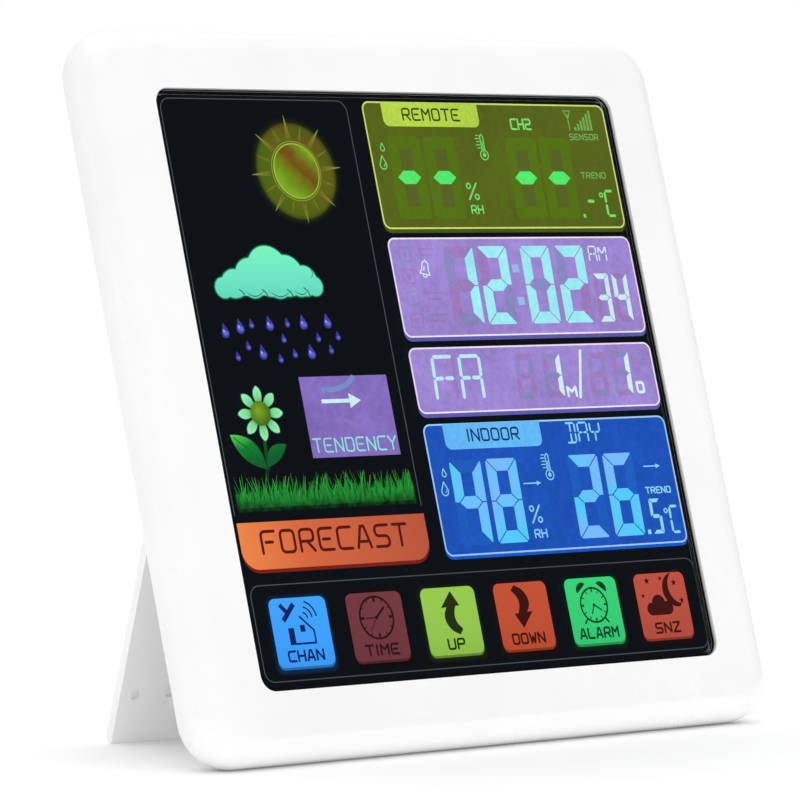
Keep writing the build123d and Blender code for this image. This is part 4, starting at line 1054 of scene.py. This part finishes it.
# ---- REMOTE window
panel("remote", 2.5, 36.5, "olive")
tab("remote_tab", "REMOTE", "tab_lime", (72.7, 2.6, 105.3, 9.1), (79.2, 4.1, 98.8, 7.6))
REMOTE_PLACES = (72.3, 84.2, 112.3, 124.0)
REMOTE_SIZE = (11.7, 10.7, 22.1)        # top, width and height of a digit
ghosts, gaps, counters, dashes = [], [], [], []
for left in REMOTE_PLACES:
    lit, between = seven(left, *REMOTE_SIZE, "abcdef", weight=0.3, gap=0.16)
    ghosts += lit
    gaps += between
    counters += [rect(left + 3.7, 15.4, left + 7.6, 20.4), rect(left + 3.4, 25.2, left + 7.3, 30.2)]
    dashes += seven(left, *REMOTE_SIZE, "g", weight=0.33)[0]
faint_one, one_gaps = seven(99.6, *REMOTE_SIZE, "bcg", weight=0.3, gap=0.26)
drawn("remote_unlit", ghosts, "olive_ghost", GHOST, cuts=gaps)
drawn("remote_unlit_hundred", faint_one, "olive_faint", GHOST, cuts=one_gaps)
drawn("remote_counters", counters, "olive_counter", GHOST)
drawn("remote_dashes", dashes, "remote_lit", SEGMENTS)
antenna = stroke([(136.7, 9.6), (136.7, 5.2)], 0.34)
antenna += outlined([(135.5, 4.2), (137.9, 4.2), (136.7, 6.4)], 0.3)
levels = [rect(138.4 + 1.15 * step, 9.6 - 0.9 - step * 0.92, 139.15 + 1.15 * step, 9.6) for step in range(6)]
drawn("remote_signs", drops_sign(69.9, 18.8) + thermometer_sign(104.9, 16.6)
      + percent_sign(96.5, 24.0, 3.9, 4.9) + lettering("RH", 96.7, 30.1, 101.0, 32.6, 0.4)
      + lettering("CH2", 115.9, 6.5, 123.2, 9.7, 0.5) + degree_sign(142.6, 26.3, 5.0, 6.8)
      + [bar((138.0, 29.1), (140.6, 29.1), 0.9, 0.0), rect(135.6, 32.6, 136.5, 33.6)], "remote_icon", PRINT)
drawn("remote_dim_signs", antenna + levels + lettering("SENSOR", 136.0, 10.5, 146.4, 12.3, 0.3)
      + lettering("TREND", 137.4, 21.1, 146.3, 22.9, 0.32), "remote_dim", PRINT)

# ---- CLOCK window
panel("clock", 38.8, 65.1, "violet")
CLOCK = ("1202", (83.9, 95.4, 110.3, 122.2), 41.2, 20.9, 10.0)
SECONDS = ("34", (134.3, 140.9), 48.9, 13.1, 5.3)
clock_off, clock_off_gaps = figures(*CLOCK, lit=False)
seconds_off, seconds_off_gaps = figures(*SECONDS, lit=False, weight=0.28)
drawn("clock_unlit_warm", clock_off[::2] + seconds_off, "violet_ghost", GHOST,
      cuts=clock_off_gaps + seconds_off_gaps)
drawn("clock_unlit_cool", clock_off[1::2], "violet_ghost_cool", GHOST, cuts=clock_off_gaps)
clock_lit, clock_gaps = figures(*CLOCK)
drawn("clock_digits", clock_lit, "clock_lit", SEGMENTS, cuts=clock_gaps)
seconds, seconds_gaps = figures(*SECONDS, weight=0.28, gap=0.22)
drawn("clock_seconds", seconds + bar_letters("AM", 134.7, 41.5, 140.8, 45.6, 0.42), "clock_small", SEGMENTS,
      cuts=seconds_gaps)
drawn("clock_colon", [rect(106.9, 46.2, 109.2, 48.3), rect(106.7, 54.9, 109.0, 57.1)], "clock_dim", SEGMENTS)
BELL = (77.2, 47.0)
bell = ([(75.5, 48.5), (76.1, 47.4), (76.2, 46.2)] + arc(77.2, 46.0, 1.0, 190, 350, 8)
        + [(78.2, 46.2), (78.3, 47.4), (78.9, 48.5)])
bell_sign = []
for line in (bell + bell[:1], arc(77.2, 48.7, 0.6, 10, 170, 8), [(77.2, 45.0), (77.2, 44.6)],
             [(76.8, 47.6), (76.9, 46.5)]):
    bell_sign += stroke(turned(line, *BELL, 12), 0.32)
drawn("clock_bell", bell_sign, "clock_small", SEGMENTS)
faint_cool, faint_warm = [], []
for row in range(4):
    top = 41.4 + row * 5.8
    square = outlined(rounded(69.5, top, 73.3, top + 3.6, 0.6), 0.5) + [disc(71.4, top + 1.8, 0.8, 12)]
    (faint_warm if row % 2 else faint_cool).extend(square)
    if row != 1:
        faint_warm += stroke([(76.0, top + 0.4), (81.2, top + 0.4)], 0.45)
        faint_warm += stroke([(76.2, top + 2.0), (80.4, top + 2.0)], 0.45)
        faint_warm += stroke([(76.6, top + 0.4), (76.6, top + 2.9)], 0.4)
drawn("clock_faint_signs", faint_cool, "violet_ghost_cool", GHOST)
drawn("clock_faint_words", faint_warm, "violet_ghost", GHOST)

# ---- DATE window
panel("date", 67.8, 85.1, "violet")
DATE = (" 1 1", (101.0, 110.6, 126.4, 134.9), 70.2, 11.7, 6.1)
DATE_STYLE = {"weight": 0.26, "gap": 0.24, "slant": 0.05}
date_off, date_off_gaps = figures(*DATE, lit=False, **DATE_STYLE)
drawn("date_unlit_warm", date_off[::2] + bar_letters("RR", 73.6, 70.4, 89.0, 81.8, 0.9), "violet_ghost",
      GHOST, cuts=date_off_gaps)
drawn("date_unlit_cool", date_off[1::2], "violet_ghost_cool", GHOST, cuts=date_off_gaps)
date_lit, date_gaps = figures(*DATE, **DATE_STYLE)
drawn("date_figures", date_lit, "clock_small", SEGMENTS, cuts=date_gaps)
drawn("date_letters", bar_letters("FR", 73.2, 70.3, 88.9, 81.7, 1.0, 0.05), "clock_pale", SEGMENTS)
drawn("date_marks", stroke([(125.0, 69.4), (121.9, 82.4)], 0.85, round_ends=False)
      + lettering("M", 117.6, 79.0, 121.2, 82.0, 0.74) + lettering("D", 142.3, 78.3, 145.3, 81.7, 0.8),
      "clock_small", SEGMENTS)

# ---- INDOOR window
panel("indoor", 87.8, 122.1, "blue", lip=0.8)
tab("indoor_tab", "INDOOR", "tab_blue", (72.9, 87.9, 105.7, 94.6), (80.4, 89.3, 98.2, 92.8))
INDOOR = ("4826", (72.3, 84.4, 112.6, 124.9), 97.4, 22.1, 10.4)
indoor_off, indoor_off_gaps = figures(*INDOOR, lit=False)
drawn("indoor_unlit", indoor_off, "blue_ghost", GHOST, cuts=indoor_off_gaps)
indoor_lit, indoor_gaps = figures(*INDOOR)
drawn("indoor_digits", indoor_lit, "indoor_lit", SEGMENTS, cuts=indoor_gaps)
tenth, tenth_gaps = figures("5", (138.4,), 110.0, 9.4, 3.9, weight=0.26, gap=0.2)
drawn("indoor_tenth", tenth + [rect(136.4, 118.2, 137.5, 119.4)], "indoor_small", SEGMENTS, cuts=tenth_gaps)
drawn("indoor_signs", drops_sign(69.8, 104.6) + thermometer_sign(106.1, 102.3)
      + percent_sign(96.8, 109.9, 3.9, 5.0) + lettering("RH", 97.0, 116.3, 101.4, 118.7, 0.4)
      + degree_sign(143.4, 112.3, 4.9, 6.9) + arrow_sign(96.6, 102.6, 104.3)
      + arrow_sign(139.3, 145.1, 101.3) + lettering("TREND", 138.3, 106.8, 147.3, 108.7, 0.34)
      + bar_letters("DRY", 114.4, 88.9, 126.1, 94.1, 0.5), "indoor_small", PRINT)

# ---- the six touch keys
KEY_PITCH, KEY_FIRST, KEY_HALF = 24.22, 15.7, 8.9
KEY_TOP, KEY_BOTTOM, KEY_CORNER, KEY_LIP = 129.8, 147.0, 1.9, 0.6
KEY_GLOW = 1.8          # how far a key's glow reaches past it
HALF_LAYER = LAYER * 0.5


def key(index, name, word, colour, ink, signs, text_wide, glow=0.08):
    """A lit key: its field, the darker lip below, a soft glow round it, its sign and its word."""
    colour = linear(*colour)
    middle = KEY_FIRST + KEY_PITCH * index
    left, right = middle - KEY_HALF, middle + KEY_HALF
    halo = rounded(left - KEY_GLOW, KEY_TOP - KEY_GLOW, right + KEY_GLOW, KEY_BOTTOM + KEY_GLOW, 3.2)
    drawn(name + "_glow", [halo],
          fading(name + "Glow", left + 1.2, KEY_TOP + 1.2, right - 1.2, KEY_BOTTOM, 2.6, colour, glow), GLOW)
    drawn(name + "_lip", [rounded(left, KEY_TOP + 4, right, KEY_BOTTOM + KEY_LIP, KEY_CORNER, "br bl")],
          backlit(name + "Lip", shaded(colour, 0.42)), GLOW - HALF_LAYER)
    fade = [(0.0, shaded(colour, 1.06)), (0.6, colour), (1.0, shaded(colour, 0.9))]
    field = sloped(name + "Field", fade, DOWN, (middle, KEY_TOP), KEY_BOTTOM - KEY_TOP, 600.0, 0.3)
    drawn(name + "_field", [rounded(left, KEY_TOP, right, KEY_BOTTOM, KEY_CORNER)], field, FILL - HALF_LAYER)
    key_ink = backlit(name + "Print", linear(*ink))
    drawn(name + "_sign", [[(middle + x, y) for x, y in outline] for outline in signs], key_ink, LIT)
    words = lettering(word, middle - text_wide / 2, 142.8, middle + text_wide / 2, 145.8, 0.56)
    drawn(name + "_word", words, key_ink, LIT)


def dial(face, radius, pen, long_tick, short_tick):
    """A clock's ring and its twelve ticks. A tick is given by its inner end, its outer end and its pen."""
    shapes = outlined(disc(0.0, face, radius, 40), pen)
    for hour in range(12):
        inner, outer, tick_pen = short_tick if hour % 3 else long_tick
        shapes.append(turned(quad((inner, face), (outer, face), tick_pen), 0.0, face, hour * 30))
    return shapes


# Each sign is drawn about x = 0, the key's middle.
mast = stroke([(-5.2, 135.4), (-1.3, 131.4)], 1.3, round_ends=False)
mast += stroke([(-5.6, 131.4), (-3.4, 133.7)], 1.1, round_ends=False)
house = (stroke([(0.0, 134.6), (3.8, 138.2), (3.8, 141.3), (-2.4, 141.3)], 0.5)
         + [rect(-4.2, 137.3, -2.4, 141.5), rect(-0.4, 136.7, 1.1, 138.4)])
waves = []
for radius in (1.6, 3.0, 4.4):
    waves += stroke(arc(0.9, 135.2, radius, -72, -8, 10), 0.42)
key(0, "chan_key", "CHAN", (62, 160, 255), (14, 34, 96), mast + house + waves, 11.4, 0.18)

FACE = 136.2
hands = (stroke([(-3.4, FACE + 0.05), (0.0, FACE)], 0.32) + stroke([(0.0, FACE), (2.7, FACE - 2.4)], 0.6)
         + stroke([(-2.4, FACE + 3.2), (0.0, FACE)], 0.22) + [disc(0.0, FACE, 0.5, 16)])
key(1, "time_key", "TIME", (112, 56, 62), (46, 16, 22),
    dial(FACE, 5.3, 0.55, (3.9, 5.0, 0.7), (4.4, 5.0, 0.3)) + hands, 11.0)

bow_left = [(-1.0, 134.7), (-2.3, 136.6), (-2.1, 138.8), (-0.6, 140.9), (1.9, 142.0)]
bow_right = [(3.1, 140.6), (1.6, 139.2), (1.0, 137.7), (1.2, 136.1), (1.9, 134.5)]
up_arrow = [softened(bow_left, 1.2) + softened(bow_right, 1.2), [(-2.9, 135.0), (0.9, 130.8), (3.2, 134.6)]]
down_arrow = [turned(outline, 0.0, 136.2, 180) for outline in up_arrow]
key(2, "up_key", "UP", (148, 198, 78), (34, 48, 16), up_arrow, 5.8)
key(3, "down_key", "DOWN", (190, 80, 52), (62, 16, 10), down_arrow, 11.2)

ALARM_FACE = 137.0
alarm_bells, alarm_feet = [], []
for side in (-1, 1):
    dome = arc(0.0, ALARM_FACE - 5.6, 1.9, 180, 360, 12, 0.8)
    alarm_bells.append(turned(dome, 0.0, ALARM_FACE, side * 38))
    alarm_feet += stroke([(side * 3.0, ALARM_FACE + 3.4), (side * 4.0, ALARM_FACE + 4.6)], 0.5)
alarm_hands = []
for x, y in ((2.4, 1.4), (-1.1, 2.2)):
    alarm_hands += stroke([(0.0, ALARM_FACE), (x, ALARM_FACE + y)], 0.34)
alarm_dial = dial(ALARM_FACE, 4.5, 0.5, (3.4, 4.2, 0.5), (3.4, 4.2, 0.26))
key(4, "alarm_key", "ALARM", (54, 206, 118), (8, 60, 34),
    alarm_dial + alarm_bells + alarm_feet + alarm_hands + [disc(0.0, ALARM_FACE, 0.45, 14)], 13.6)


def star(cx, cy, radius):
    points = []
    for step in range(10):
        angle = math.radians(step * 36 - 90)
        reach = radius * 0.42 if step % 2 else radius
        points.append((cx + reach * math.cos(angle), cy + reach * math.sin(angle)))
    return points


night_cloud = [disc(-1.6, 137.8, 2.3, 28), disc(-4.3, 139.2, 1.7, 24), disc(1.4, 139.1, 1.8, 24),
               rect(-4.3, 138.6, 1.6, 140.9)]
moon = [arc(5.2, 134.4, 4.6, 80, 285, 24) + arc(7.4, 133.6, 4.7, 262, 100, 24)]
stars = [star(*place) for place in ((-4.4, 131.7, 1.05), (0.4, 131.3, 0.75), (5.0, 132.6, 1.0),
                                    (-6.6, 135.6, 0.75), (6.7, 137.4, 0.95))]
key(5, "snooze_key", "SNZ", (184, 80, 64), (62, 18, 14), night_cloud + moon + stars, 9.0)
